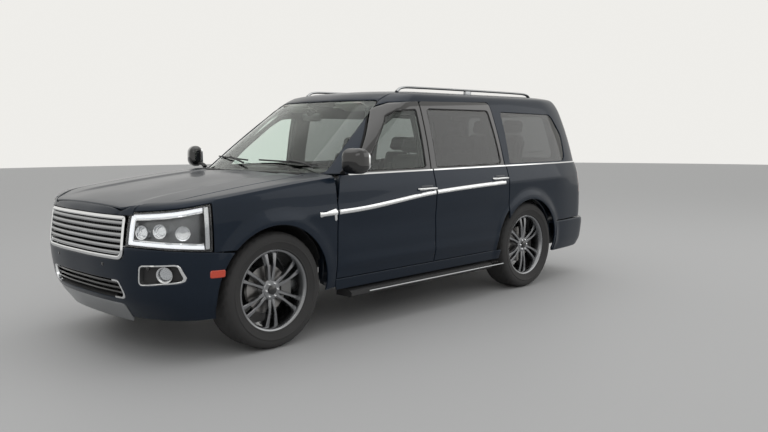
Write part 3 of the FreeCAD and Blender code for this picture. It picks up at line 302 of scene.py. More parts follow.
def nose_skin(uv):
    point = lookup(nose_points, (uv[:, 1] - nose_v[0]) / (nose_v[-1] - nose_v[0]),
                   np.abs(uv[:, 0]) / nose_length)
    point[:, 0] += side_relief(point) * (1 - smoothstep(uv[:, 1], -0.03, 0.02))
    point[uv[:, 0] < 0, 0] *= -1
    return point


def top_skin(uv):
    x, y = uv.T
    z = top_height(x, y)
    ridge = 0.010 * (smoothstep(np.abs(x), 0.50, 0.54) - 1) * smoothstep(y, -2.55, -2.2)
    centre = 0.006 * np.exp(-(x / 0.25) ** 2) * smoothstep(y, -2.5, -1.9)
    return np.stack([x, y, z + 0.010 * smoothstep(y, -2.55, -2.2) + ridge + centre - 0.010], axis=1)


# Trimming: fields above 0 inside, given in a view of the vehicle
SIDE, FRONT, PLAN = (1, 2), (0, 2), (0, 1)


def loop_points(corners, steps=7):
    out = []
    for a, b, c in fillets(corners, True):
        straight = np.linalg.norm((a + c) / 2 - b) < 1e-6
        out += [arc_point((a, b, c), t) for t in ([0.0] if straight else np.linspace(0, 1, steps)[:-1])]
    return np.array([p for i, p in enumerate(out) if np.linalg.norm(p - out[i - 1]) > 1e-6])


def distance(points, loop):
    """Distance to a closed loop, above 0 inside it."""
    best = np.full(len(points), 1e9)
    inside = np.zeros(len(points), bool)
    for p, q in zip(loop, np.roll(loop, -1, 0)):
        edge, away = q - p, points - p
        t = np.clip((away @ edge) / (edge @ edge), 0, 1)
        best = np.minimum(best, ((away - t[:, None] * edge) ** 2).sum(1))
        crosses = (p[1] > points[:, 1]) != (q[1] > points[:, 1])
        rise = q[1] - p[1] if abs(q[1] - p[1]) > 1e-12 else 1e-12
        inside ^= crosses & (points[:, 0] < (q[0] - p[0]) * (points[:, 1] - p[1]) / rise + p[0])
    return np.where(inside, 1, -1) * np.sqrt(best)


def both_of(corners):
    """Corners on the +X side, from the bottom up, and their mirror image, as one loop."""
    return [(-x, z, r) for x, z, r in corners] + [(x, z, r) for x, z, r in reversed(corners)]


def signed_area(loop):
    """Twice the area of a loop, below 0 where it runs clockwise."""
    return sum(a[0] * b[1] - a[1] * b[0] for a, b in zip(loop, np.roll(loop, -1, 0)))


def grown(corners, step):
    """The loop moved outwards by step."""
    loop = np.array([c[:2] for c in corners], float)
    step_out = step if signed_area(loop) > 0 else -step
    out = []
    for i, (a, b, radius) in enumerate(corners):
        before, after = loop[i] - loop[i - 1], loop[(i + 1) % len(loop)] - loop[i]
        before, after = before / np.linalg.norm(before), after / np.linalg.norm(after)
        n1, n2 = np.array([before[1], -before[0]]), np.array([after[1], -after[0]])
        turn = (n1 + n2) / max(1e-6, 1 + n1 @ n2) * step_out
        out.append((a + turn[0], b + turn[1], max(0.001, radius + step)))
    return out


def within(view, corners, step=0.0):
    """Inside a loop in a view, grown by step."""
    loop = loop_points(grown(corners, step) if step else corners)
    return lambda point: distance(point[:, view], loop)


def outside(view, corners, step=0.0):
    inner = within(view, corners, step)
    return lambda point: -inner(point)


def rim(view, corners, outer, inner):
    """Between a loop grown by outer and the same loop grown by inner."""
    return [within(view, corners, outer), outside(view, corners, inner)]


def beyond(axis, limit, sign=1):
    return lambda point: sign * (point[:, axis] - limit)


def box(front=None, rear=None, low=None, high=None):
    """Behind front, ahead of rear, above low and below high, each where it is given."""
    limits = ((1, front, 1), (1, rear, -1), (2, low, 1), (2, high, -1))
    return [beyond(axis, limit, sign) for axis, limit, sign in limits if limit is not None]


def narrow(half):
    """Less than half from the centre line."""
    return lambda point: half - np.abs(point[:, 0])


def band(field, low, high=None):
    """Where a field is above low, and below high where it is given."""
    return [lambda point: field(point) - low] + ([] if high is None else [lambda point: high - field(point)])


def on_both(field):
    """The same trimming on both sides of the vehicle."""
    return lambda point: field(np.column_stack([np.abs(point[:, 0]), point[:, 1:]]))


def either(one, other):
    """Inside one field or the other."""
    return lambda point: np.maximum(one(point), other(point))


def arch(axle, radius):
    return lambda point: np.hypot(point[:, 1] - axle, point[:, 2] - AXLE_Z) - radius


def split(uv, tris, field, keep_both):
    """Cuts the triangles where the field is 0, and drops the part below 0 unless keep_both."""
    value = field(uv)
    inside = value > 0
    count = inside[tris].sum(1)
    mixed = tris[(count == 1) | (count == 2)]
    kept = [tris[count == 3]] + ([tris[count == 0]] if keep_both else [])
    if len(mixed) == 0:
        return uv, np.concatenate(kept)
    flags = inside[mixed]
    lone_in = flags.sum(1) == 1
    lone = np.where(lone_in, flags.argmax(1), (~flags).argmax(1))
    turned = mixed[np.arange(len(mixed))[:, None], (lone[:, None] + np.arange(3)) % 3]
    pairs = np.sort(np.concatenate([turned[:, [0, 1]], turned[:, [0, 2]]]), axis=1)
    pairs, index = np.unique(pairs, axis=0, return_inverse=True)
    index = index.reshape(-1)
    start, end = uv[pairs[:, 0]], uv[pairs[:, 1]]
    value_a, value_b = value[pairs[:, 0]], value[pairs[:, 1]]
    t_a, t_b = np.zeros(len(pairs)), np.ones(len(pairs))
    for _ in range(4):
        span = np.where(np.abs(value_a - value_b) < 1e-12, 1e-12, value_a - value_b)
        t = np.clip(t_a + (t_b - t_a) * value_a / span, t_a, t_b)
        middle = start + (end - start) * t[:, None]
        value_m = field(middle)
        left = (value_m > 0) == (value_a > 0)
        t_a, value_a = np.where(left, t, t_a), np.where(left, value_m, value_a)
        t_b, value_b = np.where(left, t_b, t), np.where(left, value_b, value_m)
    fresh = len(uv) + index
    one, two = fresh[:len(mixed)], fresh[len(mixed):]
    tip = np.stack([turned[:, 0], one, two], 1)
    near = np.stack([one, turned[:, 1], turned[:, 2]], 1)
    rest = np.stack([one, turned[:, 2], two], 1)
    kept += [tip[lone_in], near[~lone_in], rest[~lone_in]]
    if keep_both:
        kept += [tip[~lone_in], near[lone_in], rest[lone_in]]
    return np.concatenate([uv, middle]), np.concatenate(kept)


def normals_of(skin, uv):
    e = 0.002
    du = skin(uv + [e, 0]) - skin(uv - [e, 0])
    dv = skin(uv + [0, e]) - skin(uv - [0, e])
    normal = np.cross(du, dv)
    return normal / np.maximum(np.linalg.norm(normal, axis=1), 1e-12)[:, None]


EDGE_FALL = 0.6


def panel_mesh(skin, us, vs, steps, fields, thick, roll=0.003, lift=0.0):
    """Closed sheet on a skin, trimmed by fields, with rolled edges. Returns vertices and faces."""
    nu, nv = (max(2, int(round((high - low) / step)) + 1) for (low, high), step in zip((us, vs), steps))
    u, v = np.meshgrid(np.linspace(*us, nu), np.linspace(*vs, nv))
    uv = np.stack([u.ravel(), v.ravel()], 1)
    a = (np.arange(nv - 1)[:, None] * nu + np.arange(nu - 1)).ravel()
    tris = np.concatenate([np.stack([a, a + 1, a + nu + 1], 1), np.stack([a, a + nu + 1, a + nu], 1)])
    for field in fields:
        uv, tris = split(uv, tris, lambda w, f=field: f(skin(w)), False)
    used, tris = np.unique(tris, return_inverse=True)
    uv, tris = uv[used], tris.reshape(-1, 3)

    def depth(w):
        point = skin(w)
        return np.minimum.reduce([f(point) for f in fields])

    sunk = np.zeros(len(uv))
    if roll > 0:
        uv, tris = split(uv, tris, lambda w: depth(w) - roll, True)
        sunk = EDGE_FALL * roll * np.clip(1 - np.maximum(depth(uv), 0) / roll, 0, 1)
    point = skin(uv)
    normal = normals_of(skin, uv)
    outer = point + normal * (lift - sunk)[:, None]
    inner = point + normal * (lift - thick)
    edges = np.concatenate([tris[:, [0, 1]], tris[:, [1, 2]], tris[:, [2, 0]]])
    ordered = np.sort(edges, axis=1)
    _, first, counts = np.unique(ordered, axis=0, return_index=True, return_counts=True)
    start, end = edges[first[counts == 1]].T
    n = len(uv)
    walls = np.concatenate([np.stack([end, start, start + n], 1), np.stack([end, start + n, end + n], 1)])
    return np.concatenate([outer, inner]), np.concatenate([tris, tris[:, ::-1] + n, walls])


# Solids of revolution, sweeps, prisms and pads, each as points and faces
SEAM_DEPTH, SEAM_WIDTH = 0.007, 0.009


def ring_faces(rings, sides, closed):
    """Quads between rings of points, with an end face at both ends of an open row of rings."""
    faces = [(k * sides + i, k * sides + (i + 1) % sides,
              (k + 1) % rings * sides + (i + 1) % sides, (k + 1) % rings * sides + i)
             for k in range(rings if closed else rings - 1) for i in range(sides)]
    if not closed:
        faces += [list(range(sides))[::-1], [(rings - 1) * sides + i for i in range(sides)]]
    return faces


def lathe(profile, count=64, tread=None):
    """Ring about the X axis of a closed loop of (x, radius) points; tread changes a point's radius."""
    verts = []
    for k in range(count):
        a = 2 * math.pi * k / count
        for x, r in profile:
            radius = tread(k, x, r) if tread else r
            verts.append((x, radius * math.cos(a), radius * math.sin(a)))
    return np.array(verts), ring_faces(count, len(profile), True)


def combined(*meshes):
    verts, faces, count = [], [], 0
    for v, f in meshes:
        verts.append(np.asarray(v, float))
        faces += [[i + count for i in face] for face in f]
        count += len(v)
    return np.concatenate(verts), faces


def placed(mesh, place, turn=None):
    verts = np.asarray(mesh[0], float)
    if turn is not None:
        verts = verts @ np.array(turn).T
    return verts + np.array(place), mesh[1]


def smooth_line(points, count, closed=False):
    """Catmull-Rom line through the points."""
    p = np.asarray(points, float)
    ends = (p[-1:], p[:2]) if closed else (2 * p[:1] - p[1:2], 2 * p[-1:] - p[-2:-1])
    wide = np.concatenate([ends[0], p, ends[1]])
    spans = len(p) if closed else len(p) - 1
    out = []
    for t in np.linspace(0, spans, count, endpoint=not closed):
        i = min(int(t), spans - 1)
        u = t - i
        a, b, c, d = wide[i:i + 4]
        out.append(0.5 * (2 * b + (c - a) * u + (2 * a - 5 * b + 4 * c - d) * u * u
                          + (3 * b - a - 3 * c + d) * u**3))
    return np.array(out)


def tube(points, radius, sides=12, count=40, closed=False, flat=1.0):
    """Round bar along a smooth line; flat squeezes its height."""
    line = smooth_line(points, count, closed)
    ahead = np.roll(line, -1, 0) - np.roll(line, 1, 0) if closed else np.gradient(line, axis=0)
    ahead /= np.linalg.norm(ahead, axis=1)[:, None]
    side = np.cross(ahead, [0, 0, 1])
    weak = np.linalg.norm(side, axis=1) < 0.1
    side[weak] = np.cross(ahead[weak], [0, 1, 0])
    side /= np.linalg.norm(side, axis=1)[:, None]
    rise = np.cross(side, ahead)
    angles = np.linspace(0, 2 * math.pi, sides, endpoint=False)
    verts = np.array([p + radius * (math.cos(a) * s + flat * math.sin(a) * u)
                      for p, s, u in zip(line, side, rise) for a in angles])
    return verts, ring_faces(len(line), sides, closed)


def prism(corners, view, low, high, bevel=0.003):
    """Rounded loop in a view, pushed through from low to high with bevelled rims."""
    loop = loop_points(corners)
    inner = loop_points(grown(corners, -bevel))
    if len(inner) != len(loop):
        inner = loop
    rings = []
    for shape, depth in ((inner, low), (loop, low + bevel), (loop, high - bevel), (inner, high)):
        ring = np.full((len(loop), 3), depth, float)
        ring[:, view] = shape
        rings.append(ring)
    faces = ring_faces(len(rings), len(loop), False)
    if (signed_area(loop) < 0) != (view == FRONT):
        faces = [list(f)[::-1] for f in faces]
    return np.concatenate(rings), faces


def pad_mesh(centre, half, rounding, crown=(0, 0, 0), taper=0.0, seams=(), sewn=(2, 1), cuts=14):
    """Rounded box: crown bulges each axis, taper narrows the top, seams (axis, share) sink into a face."""
    n = cuts + 1
    a, b = np.meshgrid(*[np.linspace(-1, 1, n)] * 2)
    sides = []
    for axis in range(3):
        for sign in (-1, 1):
            side = np.full((a.size, 3), sign, float)
            side[:, (axis + 1) % 3] = a.ravel() * sign
            side[:, (axis + 2) % 3] = b.ravel()
            sides.append(side)
    unit, index = np.unique(np.round(np.concatenate(sides), 6), axis=0, return_inverse=True)
    corner = (np.arange(6)[:, None, None] * n * n + np.arange(cuts)[:, None] * n + np.arange(cuts)).ravel()
    faces = index.reshape(-1)[np.stack([corner, corner + 1, corner + n + 1, corner + n], 1)].tolist()
    half = np.array(half, float)
    core = np.clip(unit * half, -(half - rounding), half - rounding)
    away = unit * half - core
    size = np.linalg.norm(away, axis=1)
    out = core + away / np.maximum(size, 1e-9)[:, None] * np.minimum(size, rounding)[:, None]
    share = out / half
    fall = 1 - np.clip(share**2, 0, 1)
    for axis in range(3):
        out[:, axis] += crown[axis] * fall[:, axis - 2] * fall[:, axis - 1] * share[:, axis]
    out[:, 0] *= 1 - taper * (share[:, 2] + 1) / 2
    face, sign = sewn
    for axis, place in seams:
        near = np.exp(-((share[:, axis] - place) * half[axis] / SEAM_WIDTH) ** 2)
        out[:, face] -= sign * SEAM_DEPTH * near * (share[:, face] * sign > 0.3)
    return out + np.array(centre), faces


def rotation(degrees, axis):
    return Matrix.Rotation(math.radians(degrees), 3, axis)


def turned_about(mesh, degrees, pivot):
    """The mesh turned about the X direction at a pivot."""
    return (mesh[0] - np.array(pivot)) @ np.array(rotation(degrees, "X")).T + np.array(pivot), mesh[1]


def swept(mesh, slope=0.35, middle=1.1):
    """The mesh drawn back along Y with the distance from a middle X."""
    points = np.array(mesh[0], float)
    points[:, 1] += slope * (points[:, 0] - middle)
    return points, mesh[1]


def skin_frame(skin, s, t, depth):
    """Place under a skin, and a turn that takes +X to its outward direction."""
    uv = np.array([[s, t]])
    normal = normals_of(skin, uv)[0]
    return skin(uv)[0] + normal * depth, Vector(normal).to_track_quat("X", "Z").to_matrix()


# Materials: each a shader, and those with a texture get fine procedural variation of colour, gloss and
# surface
materials = {}

# name: colour, metallic, roughness, texture, scale, bump depth in mm, colour variation, shader settings
MATERIALS = {
    "paint": ((0.008, 0.015, 0.027), 0.25, 0.32, "flake", 900, 0.004, 0.40,
              {"Coat Weight": 0.30, "Coat Roughness": 0.03, "Coat IOR": 1.45, "Specular IOR Level": 0.15}),
    "jamb": ((0.009, 0.015, 0.025), 0.25, 0.40, "flake", 700, 0.006, 0.25,
             {"Coat Weight": 0.6, "Coat Roughness": 0.10}),
    "chrome": ((0.80, 0.81, 0.82), 1.0, 0.09, "noise", 60, 0.01, 0.05, {}),
    "satin": ((0.40, 0.41, 0.42), 1.0, 0.28, "noise", 240, 0.01, 0.08, {}),
    "gloss": ((0.008, 0.008, 0.009), 0.0, 0.08, "noise", 90, 0.005, 0.10,
              {"Coat Weight": 0.6, "Coat Roughness": 0.03}),
    "plastic": ((0.022, 0.022, 0.023), 0.0, 0.55, "cells", 700, 0.06, 0.20, {}),
    "seal": ((0.010, 0.010, 0.010), 0.0, 0.70, "noise", 300, 0.05, 0.20, {}),
    "rubber": ((0.031, 0.030, 0.030), 0.0, 0.78, "noise", 260, 0.12, 0.30, {}),
    "alloy": ((0.25, 0.255, 0.265), 1.0, 0.27, "noise", 500, 0.01, 0.07,
              {"Coat Weight": 0.5, "Coat Roughness": 0.06}),
    "pocket": ((0.16, 0.165, 0.17), 0.7, 0.35, "noise", 300, 0.02, 0.12, {"Coat Weight": 0.4}),
    "disc": ((0.34, 0.33, 0.32), 1.0, 0.32, "rings", 160, 0.03, 0.16, {}),
    "cast": ((0.22, 0.22, 0.22), 0.7, 0.55, "noise", 120, 0.30, 0.25, {}),
    "chassis": ((0.016, 0.016, 0.016), 0.1, 0.50, "noise", 90, 0.20, 0.35, {}),
    "pipe": ((0.36, 0.33, 0.30), 1.0, 0.38, "noise", 30, 0.06, 0.30, {}),
    "leather": ((0.050, 0.046, 0.043), 0.0, 0.48, "cells", 420, 0.16, 0.22, {}),
    "trim": ((0.028, 0.027, 0.027), 0.0, 0.62, "cells", 620, 0.10, 0.20, {}),
    "pale": ((0.46, 0.44, 0.41), 0.0, 0.85, "noise", 500, 0.10, 0.10, {}),
    "carpet": ((0.026, 0.025, 0.025), 0.0, 0.95, "noise", 700, 0.9, 0.45, {"Sheen Weight": 0.4}),
    "stitch": ((0.30, 0.29, 0.28), 0.0, 0.7, "noise", 900, 0.05, 0.15, {}),
    "screen": ((0.010, 0.011, 0.013), 0.0, 0.05, "noise", 40, 0.0, 0.10, {"Coat Weight": 0.5}),
    "reflector": ((0.72, 0.73, 0.74), 1.0, 0.16, "cells", 160, 0.12, 0.10, {}),
    "glow": ((0.95, 0.97, 1.0), 0.0, 0.25, "noise", 60, 0.0, 0.03, {"Emission Strength": 0.55}),
    "amber": ((0.62, 0.055, 0.020), 0.0, 0.16, "cells", 260, 0.12, 0.20, {"Coat Weight": 0.8}),
    "clear": ((0.80, 0.88, 0.84), 0.0, 0.0, None, 0, 0, 0, {"Transmission Weight": 1.0, "IOR": 1.30}),
    "privacy": ((0.22, 0.23, 0.23), 0.0, 0.0, None, 0, 0, 0, {"Transmission Weight": 1.0, "IOR": 1.52}),
    "lens": ((0.96, 0.97, 0.98), 0.0, 0.0, None, 0, 0, 0, {"Transmission Weight": 1.0, "IOR": 1.25}),
    "red": ((0.50, 0.010, 0.008), 0.0, 0.03, "cells", 130, 0.05, 0.15,
            {"Transmission Weight": 0.8, "Coat Weight": 0.6}),
}
# texture: node, its outputs for height and for tint
TEXTURES = {"flake": ("ShaderNodeTexVoronoi", "Distance", "Color"),
            "cells": ("ShaderNodeTexVoronoi", "Distance", "Distance"),
            "rings": ("ShaderNodeTexWave", "Fac", "Fac"), "noise": ("ShaderNodeTexNoise", "Fac", "Fac")}
CLOUD_SCALE, BUMP_STRENGTH, SMOOTHER, ROUGHER = 3.0, 0.6, 0.85, 1.18


def make_material(name, colour, metallic, rough, texture, scale, depth, vary, settings):
    made = bpy.data.materials.new(name)
    made.use_nodes = True
    nodes, links = made.node_tree.nodes, made.node_tree.links
    shader = nodes["Principled BSDF"]
    plain = {"Base Color": (*colour, 1), "Metallic": metallic, "Roughness": rough}
    if "Emission Strength" in settings:
        plain["Emission Color"] = (*colour, 1)
    for socket, value in {**plain, **settings}.items():
        shader.inputs[socket].default_value = value
    materials[name] = made
    if texture is None:
        return
    kind, height, tint = TEXTURES[texture]
    place = nodes.new("ShaderNodeTexCoord").outputs["Object"]
    grain = nodes.new(kind)
    if texture == "rings":
        grain.wave_type, grain.rings_direction = "RINGS", "X"
    if texture == "noise":
        grain.inputs["Detail"].default_value = 4
    grain.inputs["Scale"].default_value = scale
    links.new(place, grain.inputs["Vector"])
    cloud = nodes.new("ShaderNodeTexNoise")
    cloud.inputs["Scale"].default_value = CLOUD_SCALE
    links.new(place, cloud.inputs["Vector"])
    blend = nodes.new("ShaderNodeMix")
    blend.data_type = "RGBA"
    blend.inputs[6].default_value = (*[c * (1 - vary) for c in colour], 1)
    blend.inputs[7].default_value = (*[min(1, c * (1 + vary)) for c in colour], 1)
    links.new(grain.outputs[tint], blend.inputs[0])
    links.new(blend.outputs[2], shader.inputs["Base Color"])
    gloss = nodes.new("ShaderNodeMapRange")
    gloss.inputs["To Min"].default_value = rough * SMOOTHER
    gloss.inputs["To Max"].default_value = min(1, rough * ROUGHER)
    links.new(cloud.outputs["Fac"], gloss.inputs["Value"])
    links.new(gloss.outputs["Result"], shader.inputs["Roughness"])
    if depth > 0:
        bump = nodes.new("ShaderNodeBump")
        bump.inputs["Strength"].default_value = BUMP_STRENGTH
        bump.inputs["Distance"].default_value = depth / 1000
        links.new(grain.outputs[height], bump.inputs["Height"])
        links.new(bump.outputs["Normal"], shader.inputs["Normal"])


for name, row in MATERIALS.items():
    make_material(name, *row)


def add(name, mesh, finish, body="body", replaced=None, smooth=35):
    """A piece on a body; edges sharper than smooth degrees stay sharp."""
    data = bpy.data.meshes.new(name)
    data.from_pydata([tuple(map(float, v)) for v in mesh[0]], [], [list(map(int, f)) for f in mesh[1]])
    data.validate()
    item = bpy.data.objects.new(name, data)
    bpy.context.scene.collection.objects.link(item)
    data.shade_smooth()
    data.set_sharp_from_angle(angle=math.radians(smooth))
    data.materials.append(materials[finish])
    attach(item, body)
    if replaced:
        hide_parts(replaced)
    return item


def sided(name, word, known):
    """The name with its side, where such a body or node is known."""
    return "%s_%s" % (name, word) if "%s_%s" % (name, word) in known else name


def add_pair(name, mesh, finish, body="body", replaced=None, smooth=35):
    """The left piece and its mirror image, on BODY_left and BODY_right or on one body."""
    mirrored = np.array(mesh[0], float) * [-1, 1, 1], [list(f)[::-1] for f in mesh[1]]
    for word, half in (("left", mesh), ("right", mirrored)):
        add("%s_%s" % (name, word), half, finish, sided(body, word, frame["bodies"]),
            replaced and sided(replaced, word, frame["nodes"]), smooth)


PANEL_SMOOTH = 28
FINE, COARSE = 12, 42


def sheet(name, skin, across, up, fields, finish, thick, lift, roll, step=24, body="body", replaced=None,
          make=add_pair):
    """A panel on a skin and its mirror image; thickness, lift, edge roll and grid step are in mm."""
    thick, lift, roll, step = thick / 1000, lift / 1000, roll / 1000, step / 1000
    make(name, panel_mesh(skin, across, up, (step, step), fields, thick, roll, lift), finish, body, replaced,
         PANEL_SMOOTH)


def full_sheet(*columns, **more):
    """The same as one panel across the vehicle."""
    sheet(*columns, **more, make=add)


# Loops that trim the panels: two coordinates and a corner radius
DOOR_LOW, WAIST = 0.425, 1.203
FRONT_PANE = mm((-800, 1222, 15), (-405, 1660, 60), (-300, 1702, 60), (-58, 1716, 25), (-58, 1222, 25))
REAR_PANE = mm((75, 1222, 25), (75, 1722, 25), (935, 1718, 40), (1000, 1222, 40))
QUARTER_PANE = mm((1135, 1222, 30), (1130, 1708, 30), (1985, 1692, 110), (2120, 1480, 110), (2110, 1222, 90))
PANE_FIT = -0.0004
FRONT_FRAME = mm((-1020, 1196, 0), (-925, 1205, 0), (-425, 1722, 60), (-290, 1768, 60), (-4, 1786, 10),
                 (-4, 1196, 0))
REAR_FRAME = mm((4, 1196, 0), (4, 1787, 10), (985, 1795, 50), (1045, 1196, 10))
FRAMES = mm((-1040, 1190, 0), (-935, 1210, 0), (-432, 1731, 60), (-290, 1774, 60), (985, 1801, 50),
            (1055, 1190, 0))
HOLES_LOW = [mm((-985, 620, 60), (-985, 1300, 0), (-60, 1300, 0), (-60, 620, 60)),
             mm((110, 620, 60), (110, 1300, 0), (935, 1300, 0), (935, 1010, 200), (700, 620, 160))]
HOLES_UP = [mm((-830, 1190, 0), (-420, 1640, 60), (-310, 1672, 60), (-60, 1684, 30), (-60, 1190, 0)),
            mm((110, 1190, 0), (110, 1688, 30), (905, 1686, 40), (935, 1190, 0)), QUARTER_PANE]
SEALS = (("front_seal", mm((-985, 620, 60), (-985, 1190, 10), (-60, 1190, 10), (-60, 620, 60))),
         ("rear_seal", mm((110, 620, 60), (110, 1190, 10), (935, 1190, 10), (935, 1010, 200),
                          (700, 620, 160))))
SHIELD = both_of(mm((795, 1215, 20), (795, 1262, 30), (648, 1792, 70)))
GATE_PANE = both_of(mm((600, 1240, 60), (520, 1690, 70)))
PLATE = mm((-270, 800, 20), (-270, 955, 20), (270, 955, 20), (270, 800, 20))
HOOD = mm((-800, -1262, 20), (-800, -2323, 160), (-520, -2571, 120), (520, -2571, 120), (800, -2323, 160),
          (800, -1262, 20))
GRILLE = both_of(mm((572, 700, 60), (566, 984, 30)))
INTAKE = both_of(mm((560, 430, 50), (500, 560, 40)))
SKID = both_of(mm((460, 255, 30), (500, 395, 30)))
SUPPORT = both_of(mm((560, 935, 10), (560, 985, 10)))
FOG = mm((665, 530, 30), (690, 672, 30), (915, 684, 30), (935, 560, 40))
MARKER = mm((-2205, 575, 10), (-2205, 625, 12), (-2105, 625, 12), (-2105, 575, 10))
VENT = mm((-1300, 905, 8), (-1290, 935, 10), (-1140, 962, 10), (-1132, 872, 12), (-1152, 868, 10),
          (-1165, 930, 12))
MIRROR = mm((1026, 1238, 30), (1030, 1382, 40), (1168, 1374, 40), (1170, 1244, 30))
BUMPER_TOP, ROOF_REAR = 0.745, 2.19
MIDDLE = (-0.7, 0.7)
around_hood = outside(PLAN, HOOD, 0.005)


def gate_view(step=0.0, top_step=0.0):
    """Rear view of the tailgate, grown by step, and by top_step beside the rear window."""
    return both_of([(0.79 + step, 0.64 - step, 0.04), (0.79 + step, 1.18, 0.06),
                    (0.620 + top_step, 1.73, 0.04),
                    (0.620 + top_step, 2.0, 0.04)])


def around_shield(step):
    """Outside the windshield, which only trims what is ahead of the middle."""
    return either(outside(FRONT, SHIELD, step), beyond(1, 0.5))


def lamp_top(point):
    return 1.005 + 0.14 * (point[:, 1] + 2.6)


def lamp_low(point):
    return 0.790 - 0.10 * (point[:, 1] + 2.6)


def lamp(point):
    return np.minimum.reduce([point[:, 0] - 0.586, -2.184 - point[:, 1],
                              point[:, 2] - lamp_low(point) - 0.002,
                              lamp_top(point) - 0.001 - point[:, 2]])


def tail_lamp(point):
    return np.minimum.reduce([np.abs(point[:, 0]) - 0.800, point[:, 1] - 2.352, point[:, 2] - 0.884,
                              1.186 - point[:, 2]])


def moulding(point):
    """Along the crease of the side."""
    return 0.017 - np.abs(point[:, 2] - crease_height(point[:, 1]))


# Painted body. The last columns are finish, thickness, lift, edge roll and grid step in mm
full_sheet("hood_skin", top_skin, (-0.82, 0.82), (-2.60, -1.25), [within(PLAN, HOOD)], "paint", 16, 0, 8,
           body="hood", replaced="hood")
sheet("fender", nose_skin, (0.30, nose_length - 0.001), (-0.80, 0.30),
      [around_hood, *box(None, -1.123, 0.33), arch(FRONT_AXLE, FRONT_ARCH), beyond(0, 0.622),
       either(beyond(1, -2.172), lambda p: p[:, 2] - lamp_top(p) - 0.004),
       either(beyond(1, -1.60), beyond(2, BUMPER_TOP))], "paint", 10, 0, 4, replaced="fenders")
full_sheet("nose_cap", nose_skin, (-0.9, 0.9), (-0.35, 0.25), [around_hood, narrow(0.618), beyond(2, 0.990)],
           "paint", 10, 0, 4)
# name, front and rear of the skin, frame, pane, wheel cut, stretch above the waist, glass
DOORS = (("front_door", (-1.115, -0.006), FRONT_FRAME, FRONT_PANE, [], (-1.6, 0.5), "clear"),
         ("rear_door", (0.002, 1.036), REAR_FRAME, REAR_PANE, [arch(REAR_AXLE, 0.515)],
          (-0.7, 1.6), "privacy"))
for door, (front, rear), frame_loop, pane, cut, reach, glass in DOORS:
    sheet(door + "_skin", *lower.side(front - 0.03, rear + 0.03), (0.40, 1.22),
          box(front, rear, DOOR_LOW, WAIST) + cut, "paint", 9, 0, 4, body=door, replaced=door)
    sheet(door + "_frame", *upper.side(*reach), (0.0, 0.72), [within(SIDE, frame_loop), outside(SIDE, pane)],
          "gloss", 38, 0, 4, body=door)
    sheet(door + "_pane", *upper.side(*reach), (0.0, 0.70), [within(SIDE, pane, PANE_FIT)],
          glass, 5, -8, 0, COARSE, body=door, replaced=door + "_glass")
    sheet(door + "_pane_seal", *upper.side(-1.5, 1.6), (0.0, 0.72), rim(SIDE, pane, 0, -0.007),
          "seal", 12, -3, 3, FINE, body=door)
sheet("quarter_pane", *upper.side(0.5, 2.6), (0.0, 0.70), [within(SIDE, QUARTER_PANE, PANE_FIT)],
      "privacy", 5, -8, 0, COARSE, replaced="quarter_glass")
sheet("body_side", upper, (0.25, upper.length - 0.2), (0.02, UP_END),
      [outside(SIDE, FRAMES), outside(SIDE, QUARTER_PANE), around_shield(0.004),
       either(outside(FRONT, gate_view(0.003, 0.012)), beyond(1, ROOF_REAR, -1)),
       either(lambda p: np.abs(p[:, 0]) - 0.644, beyond(1, ROOF_REAR))], "paint", 12, 0, 4,
       replaced="side_frame")
sheet("roof_skin", upper, (0, upper.length), (0.6, UP_END),
      [narrow(0.640), outside(FRONT, SHIELD, 0.004), beyond(1, 2.186, -1)], "paint", 12, 0, 4, COARSE,
      replaced="roof")
sheet("quarter_low", *lower.side(0.95, 2.60), (0.31, 1.24),
      [*box(1.044, None, 0.335, WAIST), arch(REAR_AXLE, REAR_ARCH), outside(FRONT, gate_view(0.004, 0.012)),
       either(beyond(1, 1.868, -1), beyond(2, 0.624))], "paint", 12, 0, 4)
sheet("sill", *lower.side(-1.16, 1.10), (0.31, 0.45),
      box(-1.118, 1.044, 0.335, 0.419) + [arch(REAR_AXLE, REAR_ARCH)], "paint", 12, 0, 3)
full_sheet("windshield_pane", upper, (-1.1, 1.1), (0.0, 0.95), [within(FRONT, SHIELD, -0.001)],
           "clear", 5, -8, 0, COARSE, replaced="windshield")

# Front end: grille, lamps and bumper
front_reach = lower.s_at(-1.90)
full_sheet("front_bumper_skin", lower, (-front_reach, front_reach), (0.25, 0.86),
           [lambda p: lamp_low(p) - 0.004 - p[:, 2], outside(FRONT, GRILLE, 0.005), outside(FRONT, INTAKE),
            on_both(outside(FRONT, FOG)), arch(FRONT_AXLE, FRONT_ARCH), beyond(2, 0.285)],
           "paint", 10, 0, 5, replaced="front_bumper")
full_sheet("grille_back", lower, MIDDLE, (0.60, 1.1), [within(FRONT, GRILLE, 0.002)], "gloss", 4, -52, 0)
full_sheet("grille_frame", lower, MIDDLE, (0.60, 1.1), rim(FRONT, GRILLE, 0, -0.024), "chrome", 45, 8, 7, 14,
           replaced="grille")


def bar(z, half, across, steps, thick, roll, lift):
    """A bar across the nose at the height z."""
    rise = half + 0.013
    return panel_mesh(lower, MIDDLE, (z - rise, z + rise), steps,
                      [lambda p: half - np.abs(p[:, 2] - z), across], thick, roll, lift)


